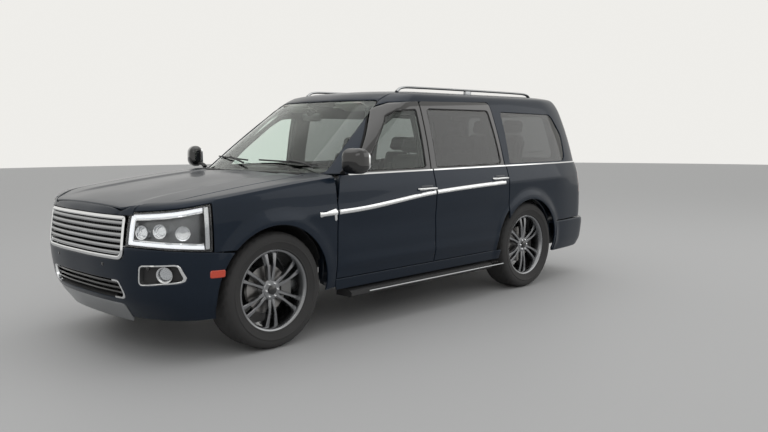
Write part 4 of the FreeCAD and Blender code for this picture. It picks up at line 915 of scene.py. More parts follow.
BAR_COUNT, BAR_LOW, BAR_HIGH = 6, 0.724, 0.960
bars = [bar(BAR_LOW + (BAR_HIGH - BAR_LOW) * (k + 0.5) / BAR_COUNT, 0.011, narrow(0.552), (0.035, 0.008),
            0.026, 0.006, -0.002) for k in range(BAR_COUNT)]
add("grille_bars", combined(*bars), "satin")
bars = [bar(z, 0.007, within(FRONT, INTAKE, 0.002), (0.035, 0.005), 0.030, 0.004, -0.022)
        for z in (0.463, 0.497, 0.531)]
add("intake_bars", combined(*bars), "gloss")
fins = []
for x in np.linspace(-0.53, 0.53, 41):
    nose_y = float(lower(np.array([[x, 0.84]]))[0, 1])
    outline = [(x - 0.002, 0.72, 0.001), (x + 0.002, 0.72, 0.001), (x + 0.002, 0.965, 0.001),
               (x - 0.002, 0.965, 0.001)]
    fins.append(prism(outline, FRONT, nose_y + 0.034, nose_y + 0.052, 0.0005))
add("grille_fins", combined(*fins), "gloss")

lamp_at = lower, (0.45, lower.s_at(-2.10)), (0.68, 1.12)
sheet("lamp_back", *lamp_at, band(lamp, 0.003), "pocket", 4, -78, 0, replaced="headlamps")
sheet("lamp_walls", *lamp_at, band(lamp, 0, 0.009), "gloss", 76, -4, 2, FINE)
sheet("lamp_signature", *lamp_at, band(lamp, 0.012, 0.036) + box(None, -2.235), "glow", 14, -14, 5, FINE)
sheet("lamp_bezel", *lamp_at, band(lamp, 0.038, 0.048) + box(None, -2.235), "chrome", 30, -20, 3, FINE)
sheet("lamp_side", *lamp_at, band(lamp, 0.010) + box(-2.226), "reflector", 10, -16, 4, FINE)
sheet("lamp_cover", *lamp_at, band(lamp, 0.001), "lens", 3, 0, 2)
fog_at = lower, (0.5, 1.2), (0.48, 0.74)
sheet("fog_pocket", *fog_at, [within(FRONT, FOG, 0.004)], "plastic", 4, -45, 0)
sheet("fog_rim", *fog_at, rim(FRONT, FOG, 0, -0.010), "chrome", 40, -2, 3, FINE)
sheet("side_marker", *lower.side(-2.26, -2.05), (0.55, 0.66), [within(SIDE, MARKER)],
      "amber", 12, 3, 4, FINE)
intake_at = lower, MIDDLE, (0.36, 0.64)
full_sheet("intake_back", *intake_at, [within(FRONT, INTAKE, 0.008)], "seal", 4, -80, 0)
full_sheet("intake_walls", *intake_at, rim(FRONT, INTAKE, 0.009, 0), "plastic", 80, -5, 2, FINE)
full_sheet("intake_rim", lower, MIDDLE, (0.38, 0.62),
           rim(FRONT, INTAKE, 0, -0.012) + [lambda p: np.abs(p[:, 0]) - 0.43], "chrome", 50, 2, 4, FINE)
full_sheet("skid_plate", lower, MIDDLE, (0.25, 0.42), [within(FRONT, SKID)], "satin", 14, 6, 5)

# Lamp bodies and sensors: loops of (x, radius), turned about their own axis
BEAM = mm((-30, 0), (-30, 40), (20, 47), (24, 47), (22, 41), (4, 37), (0, 0))
BEAM_LENS = mm((0, 0), (0, 34), (10, 30), (18, 18), (21, 0))
FOG_BODY = mm((-20, 0), (-20, 44), (16, 56), (22, 54), (20, 47), (2, 40), (0, 0))
FOG_GLASS = mm((10, 0), (10, 45), (16, 45), (22, 25), (24, 0))
SENSOR = mm((-10, 0), (-10, 12), (1, 12), (3, 9), (3, 0))
MAIN_BEAMS = ((lower, 0.70, 0.885, -0.050), (lower, 0.84, 0.895, -0.050))
FOG_PLACE = ((lower, 0.895, 0.612, -0.030),)
# name, loop, segments, finish, places under a skin
TURNED = (("lamp_beams", BEAM, 40, "chrome", MAIN_BEAMS),
          ("lamp_beam_lenses", BEAM_LENS, 40, "lens", MAIN_BEAMS),
          ("lamp_turn", BEAM, 32, "reflector", ((lower, 1.02, 0.880, -0.050),)),
          ("fog_body", FOG_BODY, 40, "reflector", FOG_PLACE),
          ("fog_glass", FOG_GLASS, 40, "lens", FOG_PLACE),
          ("front_sensor_35", SENSOR, 20, "gloss", ((lower, 0.35, 0.655, 0),)),
          ("front_sensor_78", SENSOR, 20, "gloss", ((lower, 0.78, 0.655, 0),)),
          ("rear_sensor_35", SENSOR, 20, "gloss", ((bumper, bumper.length - 0.35, 0.52, 0),)),
          ("rear_sensor_78", SENSOR, 20, "gloss", ((bumper, bumper.length - 0.78, 0.52, 0),)))
for name, profile, segments, finish, places in TURNED:
    add_pair(name, combined(*[placed(lathe(profile, segments), *skin_frame(*place)) for place in places]),
             finish)

# Rear end
around_tail = bumper.tail(bumper.length - bumper.s_at(1.80))
full_sheet("rear_bumper_skin", *around_tail, (0.300, 0.620),
           box(1.876, None, 0.305, 0.612) + [arch(REAR_AXLE, REAR_ARCH)], "paint", 30, 0, 10,
           replaced="rear_bumper")
full_sheet("bumper_top", *around_tail, (0.540, 0.620),
           box(1.890, None, 0.585, 0.611) + [arch(REAR_AXLE, 0.470)], "paint", 110, -6, 4)
full_sheet("bumper_step", *bumper.tail(0.72), (0.48, 0.62), [narrow(0.66), *box(None, None, 0.565, 0.617)],
           "plastic", 100, 2, 6)
full_sheet("rear_apron", *bumper.tail(0.9), (0.30, 0.46), [narrow(0.78), *box(None, None, 0.302, 0.405)],
           "plastic", 30, 4, 8)
sheet("rear_reflector", bumper, (bumper.length - 1.0, bumper.length - 0.5), (0.42, 0.50),
      [lambda p: 0.085 - np.abs(np.abs(p[:, 0]) - 0.70), *box(None, None, 0.440, 0.470)],
      "red", 10, 3, 4, FINE)
gate_fields = [within(FRONT, gate_view()), beyond(1, 2.2)]
full_sheet("tailgate_skin", *lower.tail(1.05), (0.62, 1.23), gate_fields + [beyond(2, WAIST, -1)],
           "paint", 50, 0, 5, body="tailgate", replaced="tailgate")
full_sheet("tailgate_frame", *upper.tail(1.0), (0.0, 0.92),
           gate_fields + [outside(FRONT, GATE_PANE), beyond(1, 2.216)], "paint", 35, 0, 6, body="tailgate")
full_sheet("gate_lip", *upper.tail(1.0), (0.58, 0.95), box(2.172, 2.235, 1.80) + [narrow(0.612)],
           "seal", 6, -24, 2, body="tailgate")
full_sheet("tailgate_pane", *upper.tail(0.8), (0.0, 0.64),
           [within(FRONT, GATE_PANE, PANE_FIT), beyond(1, 2.1)], "privacy", 5, -8, 0, COARSE,
           body="tailgate", replaced="tailgate_glass")
full_sheet("gate_ledge", *lower.tail(0.95), (1.15, 1.23), gate_fields + box(None, None, 1.180, 1.202),
           "gloss", 60, -4, 3, body="tailgate")
full_sheet("plate_recess", *lower.tail(0.5), (0.74, 1.02), rim(FRONT, PLATE, 0, -0.012) + [beyond(1, 2.0)],
           "gloss", 20, 6, 4, FINE, body="tailgate")
full_sheet("tail_trim", *lower.tail(0.9), (0.96, 1.06),
           [narrow(0.74), *box(None, None, 0.992, 1.022), beyond(1, 2.0)], "chrome", 12, 7, 5,
           body="tailgate")
tail_at = lower, (lower.s_at(2.25), lower.length - 0.55), (0.86, 1.21)
sheet("tail_lamp_back", *tail_at, [tail_lamp], "gloss", 6, -45, 0)
sheet("tail_lamp_bars", *tail_at, band(tail_lamp, 0.020, 0.046), "reflector", 14, -22, 4, FINE)
sheet("tail_lamp_lens", *tail_at, [tail_lamp], "red", 6, 0, 4, 14, replaced="tail_lamps")

# Shelf and bright strip under the windows: name, front, rear, body
SHELVES = (("front_shelf", -1.02, -0.006, "front_door"), ("rear_shelf", 0.002, 1.036, "rear_door"),
           ("quarter_shelf", 1.044, 2.36, "body"))
for name, front, rear, body in SHELVES:
    reach = lower.side(front - 0.02, rear + 0.02)
    sheet(name, *reach, (1.15, 1.23), box(front, rear, 1.182, 1.2025), "gloss", 50, -3, 3, body=body)
    sheet(name + "_strip", *reach, (1.15, 1.25), box(front, rear, 1.197, 1.211), "chrome", 10, 1, 4, FINE,
          body=body)

# Door shells, their trim inside, the pillars behind them and the lining: name, front, rear, wheel cut
SHELLS = (("front_door", -1.073, -0.060, []), ("rear_door", 0.042, 0.985, [arch(REAR_AXLE, 0.530)]))
for door, front, rear, cut in SHELLS:
    sheet(door + "_shell", *lower.side(front - 0.05, rear + 0.05), (0.42, 1.21),
          box(front, rear, DOOR_LOW + 0.012, 1.196) + cut, "jamb", 50, -9.5, 4, COARSE, body=door)
    sheet(door + "_card", *lower.side(front, rear), (0.44, 1.21),
          box(front + 0.03, rear - 0.03, DOOR_LOW + 0.05, 1.196) + cut, "trim", 8, -62, 4, COARSE, body=door)
sheet("pillar_low", *lower.side(-1.21, 2.40), (0.34, 1.22),
      [outside(SIDE, hole) for hole in HOLES_LOW] + box(-1.19, 2.32, 0.345, 1.200)
      + [arch(REAR_AXLE, 0.460)],
      "jamb", 50, -80, 4, COARSE, replaced="side_frame")
sheet("pillar_up", upper, (0.30, upper.length - 0.3), (0.0, 0.80),
      [outside(SIDE, hole) for hole in HOLES_UP]
      + [around_shield(0), outside(FRONT, gate_view()), beyond(1, 2.36, -1),
         lambda p: np.abs(p[:, 0]) - 0.70],
      "trim", 30, -58, 4, COARSE)
sheet("lining", upper, (0.20, upper.length - 0.1), (0.60, UP_END),
      [narrow(0.76), outside(FRONT, SHIELD, 0.01), beyond(1, 2.05, -1)], "pale", 8, -75, 3, 50)
sheet("cargo_trim", *lower.side(1.0, 2.5), (0.70, 1.20),
      box(1.07, 2.325, 0.74, 1.196) + [arch(REAR_AXLE, 0.47)], "trim", 12, -132, 4, COARSE)
full_sheet("cargo_sill", *lower.tail(0.95), (0.58, 0.80), [narrow(0.765), *box(2.2, None, 0.625, 0.772)],
           "plastic", 120, -70, 8)
full_sheet("hood_lining", top_skin, (-0.76, 0.76), (-2.52, -1.30), [within(PLAN, HOOD, -0.055)],
           "trim", 12, -22, 6, 40, body="hood")
for name, hole in SEALS:
    sheet(name, *lower.side(hole[0][0] - 0.05, hole[2][0] + 0.05), (0.58, 1.20),
          [outside(SIDE, hole), within(SIDE, hole, 0.014), beyond(2, 1.188, -1)], "seal", 12, -72, 5, FINE)
sheet("pillar_seal", *upper.side(-1.8, 0.6), (0.0, 0.80),
      rim(SIDE, FRAMES, 0.008, -0.004) + [beyond(1, 0.10, -1)], "seal", 12, -16, 3, FINE)
# name, body, stretch of the grid, front, rear, its low and high ends
MOULDINGS = (("fender", "body", (-1.34, -1.10), -1.300, -1.126, (0.80, 1.05)),
             ("front_door", "front_door", (-1.138, 0.018), -1.108, -0.012, (0.85, 1.12)),
             ("rear_door", "rear_door", (-0.022, 1.015), 0.008, 0.985, (0.85, 1.12)))
for name, body, stretch, front, rear, up in MOULDINGS:
    sheet(name + "_moulding", *lower.side(*stretch), up, [moulding, *box(front, rear)],
          "chrome", 10, 5, 6, FINE, body=body)

# Handles, mirrors, rails and boards
for door, y in (("front_door", -0.115), ("rear_door", 0.905)):
    z = float(crease_height(np.array([y]))[0]) + 0.042
    x = float(lower(np.array([[lower.s_at(y), z]]))[0, 0])
    grip = [(x - 0.004, y - 0.105, z), (x + 0.022, y - 0.085, z), (x + 0.029, y, z + 0.002),
            (x + 0.022, y + 0.085, z), (x - 0.004, y + 0.105, z)]
    add_pair(door + "_handle", tube(grip, 0.013, 14, 36, flat=0.8), "chrome", door)
    add_pair(door + "_cup", pad_mesh((x - 0.008, y, z), (0.010, 0.075, 0.030), 0.009, cuts=8), "jamb", door)
housing = pad_mesh((1.100, -1.015, 1.310), (0.088, 0.062, 0.092), 0.052, (0.0, 0.014, 0.004), 0.08)
add_pair("mirror_housing", swept(housing), "gloss", "front_door", "mirror")
arm = [(0.945, -1.01, 1.215), (0.975, -1.012, 1.236), (1.02, -1.015, 1.246), (1.06, -1.015, 1.262)]
add_pair("mirror_arm", tube(arm, 0.024, 16, 20, flat=0.55), "plastic", "front_door")
add_pair("mirror_glass", swept(prism(MIRROR, FRONT, -0.966, -0.950, 0.002)), "chrome", "front_door")
rail = [(0.600, -0.055, 1.872), (0.600, 0.02, 1.908), (0.600, 0.25, 1.914), (0.600, 0.95, 1.914),
        (0.600, 1.65, 1.911), (0.600, 1.88, 1.902), (0.600, 1.955, 1.862)]
foot = pad_mesh((0.600, 0.92, 1.885), (0.017, 0.045, 0.024), 0.012, cuts=6)
add_pair("roof_rail", combined(tube(rail, 0.018, 14, 80, flat=0.6), foot), "satin", "body", "roof_rails")
ribs = [pad_mesh((0.945, y, 0.3095), (0.045, 0.008, 0.005), 0.003, cuts=4)
        for y in np.linspace(-0.72, 0.90, 46)]
add_pair("board_ribs", combined(*ribs), "rubber")
trim = [(1.004, -0.79, 0.288), (1.0045, 0.1, 0.288), (1.004, 0.97, 0.288)]
add_pair("board_trim", tube(trim, 0.006, 8, 24), "satin")
add_pair("fender_vent", panel_mesh(*lower.side(-1.36, -1.10), (0.84, 1.0), (0.01, 0.01),
                                   [within(SIDE, VENT)], 0.010, 0.003, 0.004), "chrome")

# Road wheels, made at the origin with +X outwards: loops of (x, radius)
TYRE_LINE = mm((-104, 280.5), (-113, 290), (-121.5, 297), (-122, 303), (-127, 315), (-136, 338),
               (-139.5, 343), (-139.8, 350), (-136.8, 354), (-136, 374), (-126, 396), (-108, 410),
               (-85, 415.8), (-45, 416.8), (0, 417))
half_line = smooth_line(TYRE_LINE, 43)
tyre_line = np.concatenate([half_line, half_line[::-1][1:] * [-1, 1], [(0.104, 0.2795), (-0.104, 0.2795)]])
GROOVES, GROOVE_HALF, GROOVE_DEPTH, SIPE_DEPTH = (-0.066, -0.024, 0.024, 0.066), 0.0045, 0.008, 0.006


def tread(k, x, r):
    """Radius of the tyre with its grooves round it and its cuts across, by the segment k."""
    if abs(x) >= 0.118 or r <= 0.39:
        return r
    if min(abs(x - groove) for groove in GROOVES) < GROOVE_HALF:
        return r - GROOVE_DEPTH
    return r - SIPE_DEPTH if (k + int(abs(x) * 60)) % 4 == 0 and abs(x) > 0.028 else r


BARREL = mm((-114, 268), (-114, 291), (-105, 291), (-103, 278.5), (103, 278.5), (105, 291), (112, 292),
            (114, 288), (110, 277), (98, 268), (60, 262), (-60, 258))
HUB = mm((-10, 24.5), (-10, 74), (30, 80), (70, 76), (80, 66), (83, 40), (83, 0), (56, 0), (56, 24.5))
DISC = mm((-10, 80), (-10, 171), (16, 171), (16, 80))
NUT = mm((70, 0), (70, 10.5), (90, 10), (94, 6), (94, 0))
CAP = mm((80, 0), (80, 34), (92, 33), (97, 24), (98, 0))


def spoke_mesh(angle, spread):
    """One spoke from the hub to the rim; spread moves its outer end sideways."""
    rings = []
    for share in np.linspace(0, 1, 9):
        r = 0.060 + 0.212 * share
        wide = 0.0145 - 0.004 * math.sin(math.pi * share) + 0.004 * share**4
        face = 0.076 + 0.010 * math.sin(math.pi * share) - 0.004 * share
        back = face - 0.030 - 0.010 * share
        side = spread * (0.30 + 0.70 * share)
        rings.append([(back, side - wide * 1.15, r), (face - 0.005, side - wide, r),
                      (face, side - wide * 0.7, r),
                      (face, side + wide * 0.7, r), (face - 0.005, side + wide, r),
                      (back, side + wide * 1.15, r)])
    turn = Matrix.Rotation(angle, 3, "X")
    return np.array(rings).reshape(-1, 3) @ np.array(turn).T, ring_faces(9, 6, False)


SPOKES = 6
spokes = [spoke_mesh(2 * math.pi * k / SPOKES, spread) for k in range(SPOKES) for spread in (-0.040, 0.040)]
nuts = [placed(lathe(NUT, 6), (0, 0.050 * math.cos(a), 0.050 * math.sin(a)))
        for a in np.linspace(0, 2 * math.pi, SPOKES, endpoint=False)]
# name, mesh, finish, replaced node, angle that stays sharp
WHEEL = (("tyre_%s_skin", lathe(tyre_line, 144, tread), "rubber", "tyre_%s", 50),
         ("wheel_spokes_%s", combined(*spokes, lathe(HUB, 48)), "alloy", "rim_%s", 30),
         ("wheel_barrel_%s", lathe(BARREL, 96), "alloy", "", 30),
         ("wheel_nuts_%s", combined(*nuts), "chrome", "", 30),
         ("wheel_cap_%s", lathe(CAP, 40), "gloss", "", 30),
         ("brake_disc_%s", lathe(DISC, 72), "disc", "", 30))
for corner, sign, axle in (("front_left", 1, FRONT_AXLE), ("front_right", -1, FRONT_AXLE),
                           ("rear_left", 1, REAR_AXLE), ("rear_right", -1, REAR_AXLE)):
    for name, (verts, faces), finish, replaced, smooth in WHEEL:
        mesh = np.array(verts) * [sign, sign, 1] + [sign * TRACK, axle, AXLE_Z], faces
        add(name % corner, mesh, finish, "wheel_" + corner, replaced and replaced % corner, smooth)

# Small moulded fittings: name, finish, body, then centre, half sizes, rounding and bulge in mm, and the tilt
# about X in degrees
BLOCKS = (
    ("front_armrest", "leather", "front_door", (862, -420, 865), (40, 270, 26), 20, 6, 0),
    ("rear_armrest", "leather", "rear_door", (866, 460, 885), (38, 250, 26), 20, 6, 0),
    ("front_card_pad", "leather", "front_door", (893, -460, 1000), (12, 360, 75), 11, 4, 0),
    ("rear_card_pad", "leather", "rear_door", (893, 470, 1010), (12, 330, 70), 11, 4, 0),
    ("front_switches", "gloss", "front_door", (858, -560, 893), (26, 75, 6), 4, 0, 0),
    ("rear_switch", "gloss", "rear_door", (862, 360, 913), (22, 30, 6), 4, 0, 0),
    ("front_speaker", "plastic", "front_door", (915, -720, 640), (10, 105, 85), 9, 2, 0),
    ("rear_speaker", "plastic", "rear_door", (915, 200, 650), (10, 90, 80), 9, 2, 0),
    ("front_pull", "chrome", "front_door", (884, -780, 1020), (10, 50, 11), 7, 0, 0),
    ("rear_pull", "chrome", "rear_door", (884, 160, 1030), (10, 45, 11), 7, 0, 0),
    ("sun_visor", "pale", "body", (360, -345, 1742), (170, 75, 10), 9, 3, -24),
    ("cluster_hood", "leather", "body", (400, -765, 1193), (190, 80, 30), 22, 4, 0),
)
# The same at one place only, on the body
SINGLES = (
    ("cluster_screen", "screen", (400, -690, 1150), (150, 6, 48), 5, 0, -18),
    ("centre_screen", "screen", (0, -640, 1105), (150, 10, 78), 8, 0, -14),
    ("climate_panel", "gloss", (0, -662, 975), (150, 14, 34), 8, 0, 14),
    ("glovebox", "trim", (-430, -712, 930), (230, 20, 60), 12, 3, 24),
    ("console_lid", "leather", (0, 80, 940), (112, 155, 26), 20, 6, 0),
    ("console_plate", "gloss", (0, -300, 880), (100, 180, 8), 5, 0, 14),
    ("gear_lever", "leather", (0, -360, 925), (24, 34, 40), 18, 4, -10),
    ("view_mirror", "gloss", (0, -505, 1652), (118, 13, 34), 12, 2, 8),
    ("mirror_stalk", "plastic", (0, -530, 1692), (18, 28, 22), 14, 0, 40),
    ("dome_light", "reflector", (0, 100, 1801), (75, 110, 12), 9, 3, 0),
    ("engine_cover", "plastic", (0, -1660, 1003), (235, 285, 24), 18, 12, 3),
    ("cover_rib", "satin", (0, -1660, 1036), (30, 230, 8), 6, 2, 3),
    ("battery", "plastic", (560, -1500, 1000), (85, 130, 68), 10, 0, 0),
    ("air_box", "plastic", (-560, -1560, 998), (120, 170, 66), 25, 6, 0),
    ("coolant_tank", "pale", (560, -1830, 985), (80, 110, 56), 30, 4, 0),
    ("fuse_box", "gloss", (-590, -1860, 990), (70, 90, 50), 10, 0, 0),
)


def block_mesh(place, half, rounding, bulge, tilt):
    crown = [bulge if axis == int(np.argmin(half)) else 0 for axis in range(3)]
    place, half, (size,), crown = mm(place, half, (rounding,), crown)
    return turned_about(pad_mesh(place, half, size, crown, cuts=8), tilt, place)


for name, finish, body, *shape in BLOCKS:
    add_pair(name, block_mesh(*shape), finish, body)
for name, finish, *shape in SINGLES:
    add(name, block_mesh(*shape), finish)

# Seats: each place has a sewn cushion, a leaning back, side bolsters and a head restraint
LEAN = -18.4
PAD_VOXEL, PAD_PRESSURE, PAD_FRAMES, PAD_SWELL = 0.012, 4, 16, 0.014


def points_of(mesh):
    flat = np.empty(3 * len(mesh.vertices))
    mesh.vertices.foreach_get("co", flat)
    return flat.reshape(-1, 3)


def puffed(mesh):
    """The pad blown up as cloth under air pressure, each point moved by PAD_SWELL at most."""
    scene = bpy.context.scene
    data = bpy.data.meshes.new("pad")
    data.from_pydata([tuple(v) for v in mesh[0]], [], mesh[1])
    pad = bpy.data.objects.new("pad", data)
    scene.collection.objects.link(pad)
    remesh = pad.modifiers.new("remesh", "REMESH")
    remesh.mode, remesh.voxel_size = "VOXEL", PAD_VOXEL
    dense = bpy.data.meshes.new_from_object(pad.evaluated_get(bpy.context.evaluated_depsgraph_get()))
    pad.modifiers.clear()
    pad.data = dense
    start = points_of(dense)
    cloth = pad.modifiers.new("cloth", "CLOTH")
    cloth.settings.use_pressure = True
    cloth.settings.uniform_pressure_force = PAD_PRESSURE
    cloth.settings.effector_weights.gravity = 0
    cloth.point_cache.frame_end = PAD_FRAMES
    for step in range(1, PAD_FRAMES + 1):
        scene.frame_set(step)
    swollen = bpy.data.meshes.new_from_object(pad.evaluated_get(bpy.context.evaluated_depsgraph_get()))
    move = points_of(swollen) - start
    length = np.linalg.norm(move, axis=1)
    move *= np.minimum(1, PAD_SWELL / np.maximum(length, 1e-9))[:, None]
    faces = [list(polygon.vertices) for polygon in dense.polygons]
    bpy.data.objects.remove(pad)
    scene.frame_set(1)
    return start + move, faces


def sewn_pad(centre, half, rounding, crown, taper, seams, sewn):
    """A puffed pad with seams drawn into one face afterwards."""
    points, faces = puffed(pad_mesh(centre, half, rounding, crown, taper, cuts=24))
    share = (points - np.array(centre)) / np.array(half)
    axis, sign = sewn
    for along_axis, place in seams:
        near = np.exp(-((share[:, along_axis] - place) * half[along_axis] / 0.009) ** 2)
        points[:, axis] -= sign * SEAM_DEPTH * near * smoothstep(share[:, axis] * sign, 0.2, 0.6)
    return points, faces


def seat_row(name, places, half, front_y, low_z, back_y, node):
    deep = (back_y - front_y) / 2
    middle_y = front_y + deep
    pivot = (0, back_y + 0.055, low_z + 0.235)
    cushion = [sewn_pad((0, middle_y, low_z + 0.222), (half - 0.008, deep - 0.006, 0.050), 0.038,
                        (0.004, 0.004, 0.012), 0, ((0, -0.62), (0, 0.62), (1, -0.35), (1, 0.15)), (2, 1))]
    back = [sewn_pad((0, back_y + 0.055, low_z + 0.495), (half * 0.95 - 0.008, 0.045, 0.268), 0.036,
                     (0.004, 0.010, 0.004), 0.12, ((0, -0.62), (0, 0.62), (2, -0.3), (2, 0.25)), (1, -1))]
    posts = []
    for side in (-1, 1):
        cushion.append(pad_mesh((side * (half - 0.036), middle_y, low_z + 0.262), (0.036, deep * 0.9, 0.036),
                                0.030, (0.0, 0.0, 0.006), cuts=7))
        back.append(pad_mesh((side * (half * 0.93 - 0.036), back_y + 0.012, low_z + 0.46),
                             (0.034, 0.036, 0.20), 0.030, (0.0, 0.006, 0.0), cuts=7))
        posts.append(tube([(side * 0.055, back_y + 0.055, low_z + z) for z in (0.72, 0.80)], 0.006, 8, 3))
    head = pad_mesh((0, back_y + 0.050, low_z + 0.842), (min(0.125, half * 0.62), 0.045, 0.068), 0.036,
                    (0.004, 0.010, 0.004), 0.1, [(2, 0.0)], (1, -1), 14)
    base = pad_mesh((0, middle_y + 0.02, low_z + 0.090), (half * 0.86, deep * 0.86, 0.085), 0.02, cuts=6)
    shell = pad_mesh((0, back_y + 0.110, low_z + 0.47), (half * 0.88, 0.012, 0.235), 0.011,
                     (0, 0.006, 0), 0.12, cuts=8)
    rim_line = [(half * 0.985 * a, middle_y + deep * 0.985 * b, low_z + 0.243)
                for a, b in ((-1, 0.8), (-1, -0.8), (-0.85, -1), (0.85, -1), (1, -0.8), (1, 0.8))]
    parts = (("cushion", combined(*cushion), "leather"),
             ("back", turned_about(combined(*back), LEAN, pivot), "leather"),
             ("head_restraint", turned_about(head, LEAN, pivot), "leather"),
             ("posts", turned_about(combined(*posts), LEAN, pivot), "chrome"),
             ("shell", combined(base, turned_about(shell, LEAN, pivot)), "trim"),
             ("piping", tube(rim_line, 0.0035, 6, 48), "stitch"))
    for index, x in enumerate(places):
        for word, mesh, finish in parts:
            stands_for = node if word == "cushion" and index == 0 else None
            item = add("%s_place%d_%s" % (name, index + 1, word), placed(mesh, (x, 0, 0)), finish,
                       replaced=stands_for, smooth=60)


# Seat rows: name, places across, half width, front, floor, back, replaced node
for row in (("front_seat", (-0.41, 0.41), 0.250, -0.325, 0.590, 0.125, "front_seats"),
            ("middle_seat", (-0.425, 0.0, 0.425), 0.205, 0.445, 0.590, 0.830, "middle_seat"),
            ("rear_seat", (-0.395, 0.0, 0.395), 0.192, 1.335, 0.760, 1.705, "rear_seat")):
    seat_row(*row)

# Dashboard, console and radiator support: name, loop, view, low and high end, bevel, finish, replaced node
DASH_FACE = mm((-1112, 850, 30), (-1112, 1150, 30), (-720, 1150, 30), (-662, 1060, 30), (-705, 905, 40),
               (-900, 848, 50))
DASH_TOP = mm((-1114, 1095, 20), (-1114, 1168, 30), (-1035, 1193, 50), (-765, 1193, 50), (-650, 1122, 30),
              (-655, 1078, 15), (-800, 1095, 20))
DASH_STRIP = mm((-700, 1005, 2), (-655, 1008, 4), (-648, 1048, 5), (-700, 1058, 2))
CONSOLE = mm((-700, 600, 10), (-700, 880, 20), (-400, 850, 150), (-110, 920, 100), (235, 922, 30),
             (235, 600, 20))
for name, loop, view, low, high, bevel, finish, node in (
        ("dash_face", DASH_FACE, SIDE, -0.845, 0.845, 0.010, "trim", "dashboard"),
        ("dash_top", DASH_TOP, SIDE, -0.835, 0.835, 0.012, "leather", None),
        ("dash_strip", DASH_STRIP, SIDE, -0.820, 0.820, 0.003, "satin", None),
        ("console_body", CONSOLE, SIDE, -0.126, 0.126, 0.012, "trim", "console"),
        ("radiator_support", SUPPORT, FRONT, -2.470, -2.380, 0.006, "plastic", None)):
    add(name, prism(loop, view, low, high, bevel), finish, "body", node)
vents = [pad_mesh((x + 0.030 * k, -0.652, 1.030), (0.0022, 0.006, 0.017), 0.002, cuts=3)
         for x in (-0.72, -0.19, 0.19, 0.72) for k in (-1.5, -0.5, 0.5, 1.5)]
add("dash_vents", combined(*vents), "gloss")
KNOB = mm((0, 0), (0, 18), (14, 16), (16, 12), (16, 0))
knobs = [placed(lathe(KNOB, 24), (x, -0.650, 0.975), rotation(-90, "Z")) for x in (-0.11, 0.11)]
add("dash_knobs", combined(*knobs), "chrome")

# Steering wheel, made flat round the origin
wheel_at = (0.400, -0.470, 1.060), rotation(-65, "X")
circle = [(0.182 * math.cos(a), 0.182 * math.sin(a), 0)
          for a in np.linspace(0, 2 * math.pi, 24, endpoint=False)]
hub_pad = pad_mesh((0, 0, 0), (0.062, 0.058, 0.026), 0.024, (0, 0, 0.006), cuts=12)
arms = [pad_mesh((0.118 * a, 0.118 * b, -0.002), (0.062 if a else 0.016, 0.062 if b else 0.016, 0.007),
                 0.006, cuts=6) for a, b in ((1, 0), (-1, 0), (0, -1))]
wheel_ring = combined(tube(circle, 0.0145, 14, 72, closed=True), hub_pad)
add("wheel_ring", placed(wheel_ring, *wheel_at), "leather", "body", "steering_wheel")
add("wheel_arms", placed(combined(*arms), *wheel_at), "satin")
add("wheel_column", placed(tube([(0, 0, -0.02), (0, 0, -0.12), (0, 0, -0.24)], 0.030, 16, 6), *wheel_at),
    "trim")


def skin_line(places, depth):
    return [skin_frame(upper, s, t, depth)[0] for s, t in places]


# Wipers, hinges and springs
for name, places in (("wiper_left", ((0.74, 0.075), (0.45, 0.095), (0.06, 0.105))),
                     ("wiper_right", ((-0.10, 0.100), (-0.40, 0.112), (-0.78, 0.118)))):
    (s0, t0), (s1, t1), _ = places
    lever = (s0, t0 - 0.03), (s0 * 0.6 + s1 * 0.4, t1 * 0.8), (s1, t1)
    blade = tube(skin_line(places, 0.010), 0.0065, 8, 30)
    add(name, combined(blade, tube(skin_line(lever, 0.022), 0.008, 8, 16)), "plastic")
places = [(upper.length - reach, t) for reach, t in ((0.02, 0.075), (0.25, 0.10), (0.46, 0.115))]
add("wiper_rear", tube(skin_line(places, 0.010), 0.007, 8, 20), "plastic", "tailgate")
leaves = []
for door, pivot in (("front_door", FRONT_PIVOT), ("rear_door", REAR_PIVOT)):
    eyes = []
    for z in (0.655, 0.985):
        leaves += [pad_mesh((0.948, pivot, leaf_z), (0.0485, 0.0046, 0.005), 0.002, cuts=3)
                   for leaf_z in (z + 0.005, z + 0.045)]
        leaves.append(tube([(DOOR_PIVOT_X, pivot, z - 0.002), (DOOR_PIVOT_X, pivot, z + 0.052)],
                           0.004, 12, 3))
        eyes.append(tube([(DOOR_PIVOT_X, pivot, z + 0.011), (DOOR_PIVOT_X, pivot, z + 0.039)],
                         0.0078, 16, 3))
        eyes.append(pad_mesh((DOOR_PIVOT_X + 0.002, pivot + 0.035, z + 0.025), (0.005, 0.032, 0.013),
                             0.003, cuts=3))
    add_pair(door + "_hinge_eyes", combined(*eyes), "cast", door)
add_pair("hinge_leaves", combined(*leaves), "cast")
coil = [(0.590 + 0.066 * math.cos(a), FRONT_AXLE + 0.066 * math.sin(a), 0.560 + 0.22 * a / (12 * math.pi))
        for a in np.linspace(0, 12 * math.pi, 73)]
add_pair("front_spring", tube(coil, 0.0075, 8, 220), "satin")


# Camera fitted to the photograph, pale floor and soft lights
CAMERA_PLACE, LENS = (5.299, -4.956, 1.516), 36.37
YAW, PITCH, ROLL = math.radians(44.75), math.radians(6.11), math.radians(-0.29)
FLOOR_RADIUS, FLOOR_SIDES = 33, 96
FLOOR_COLOUR, SKY_COLOUR, WALL_COLOUR = (0.47, 0.465, 0.465, 1), (0.88, 0.90, 0.90, 1), (0.86, 0.85, 0.82, 1)


def show(item):
    bpy.context.scene.collection.objects.link(item)
    return item


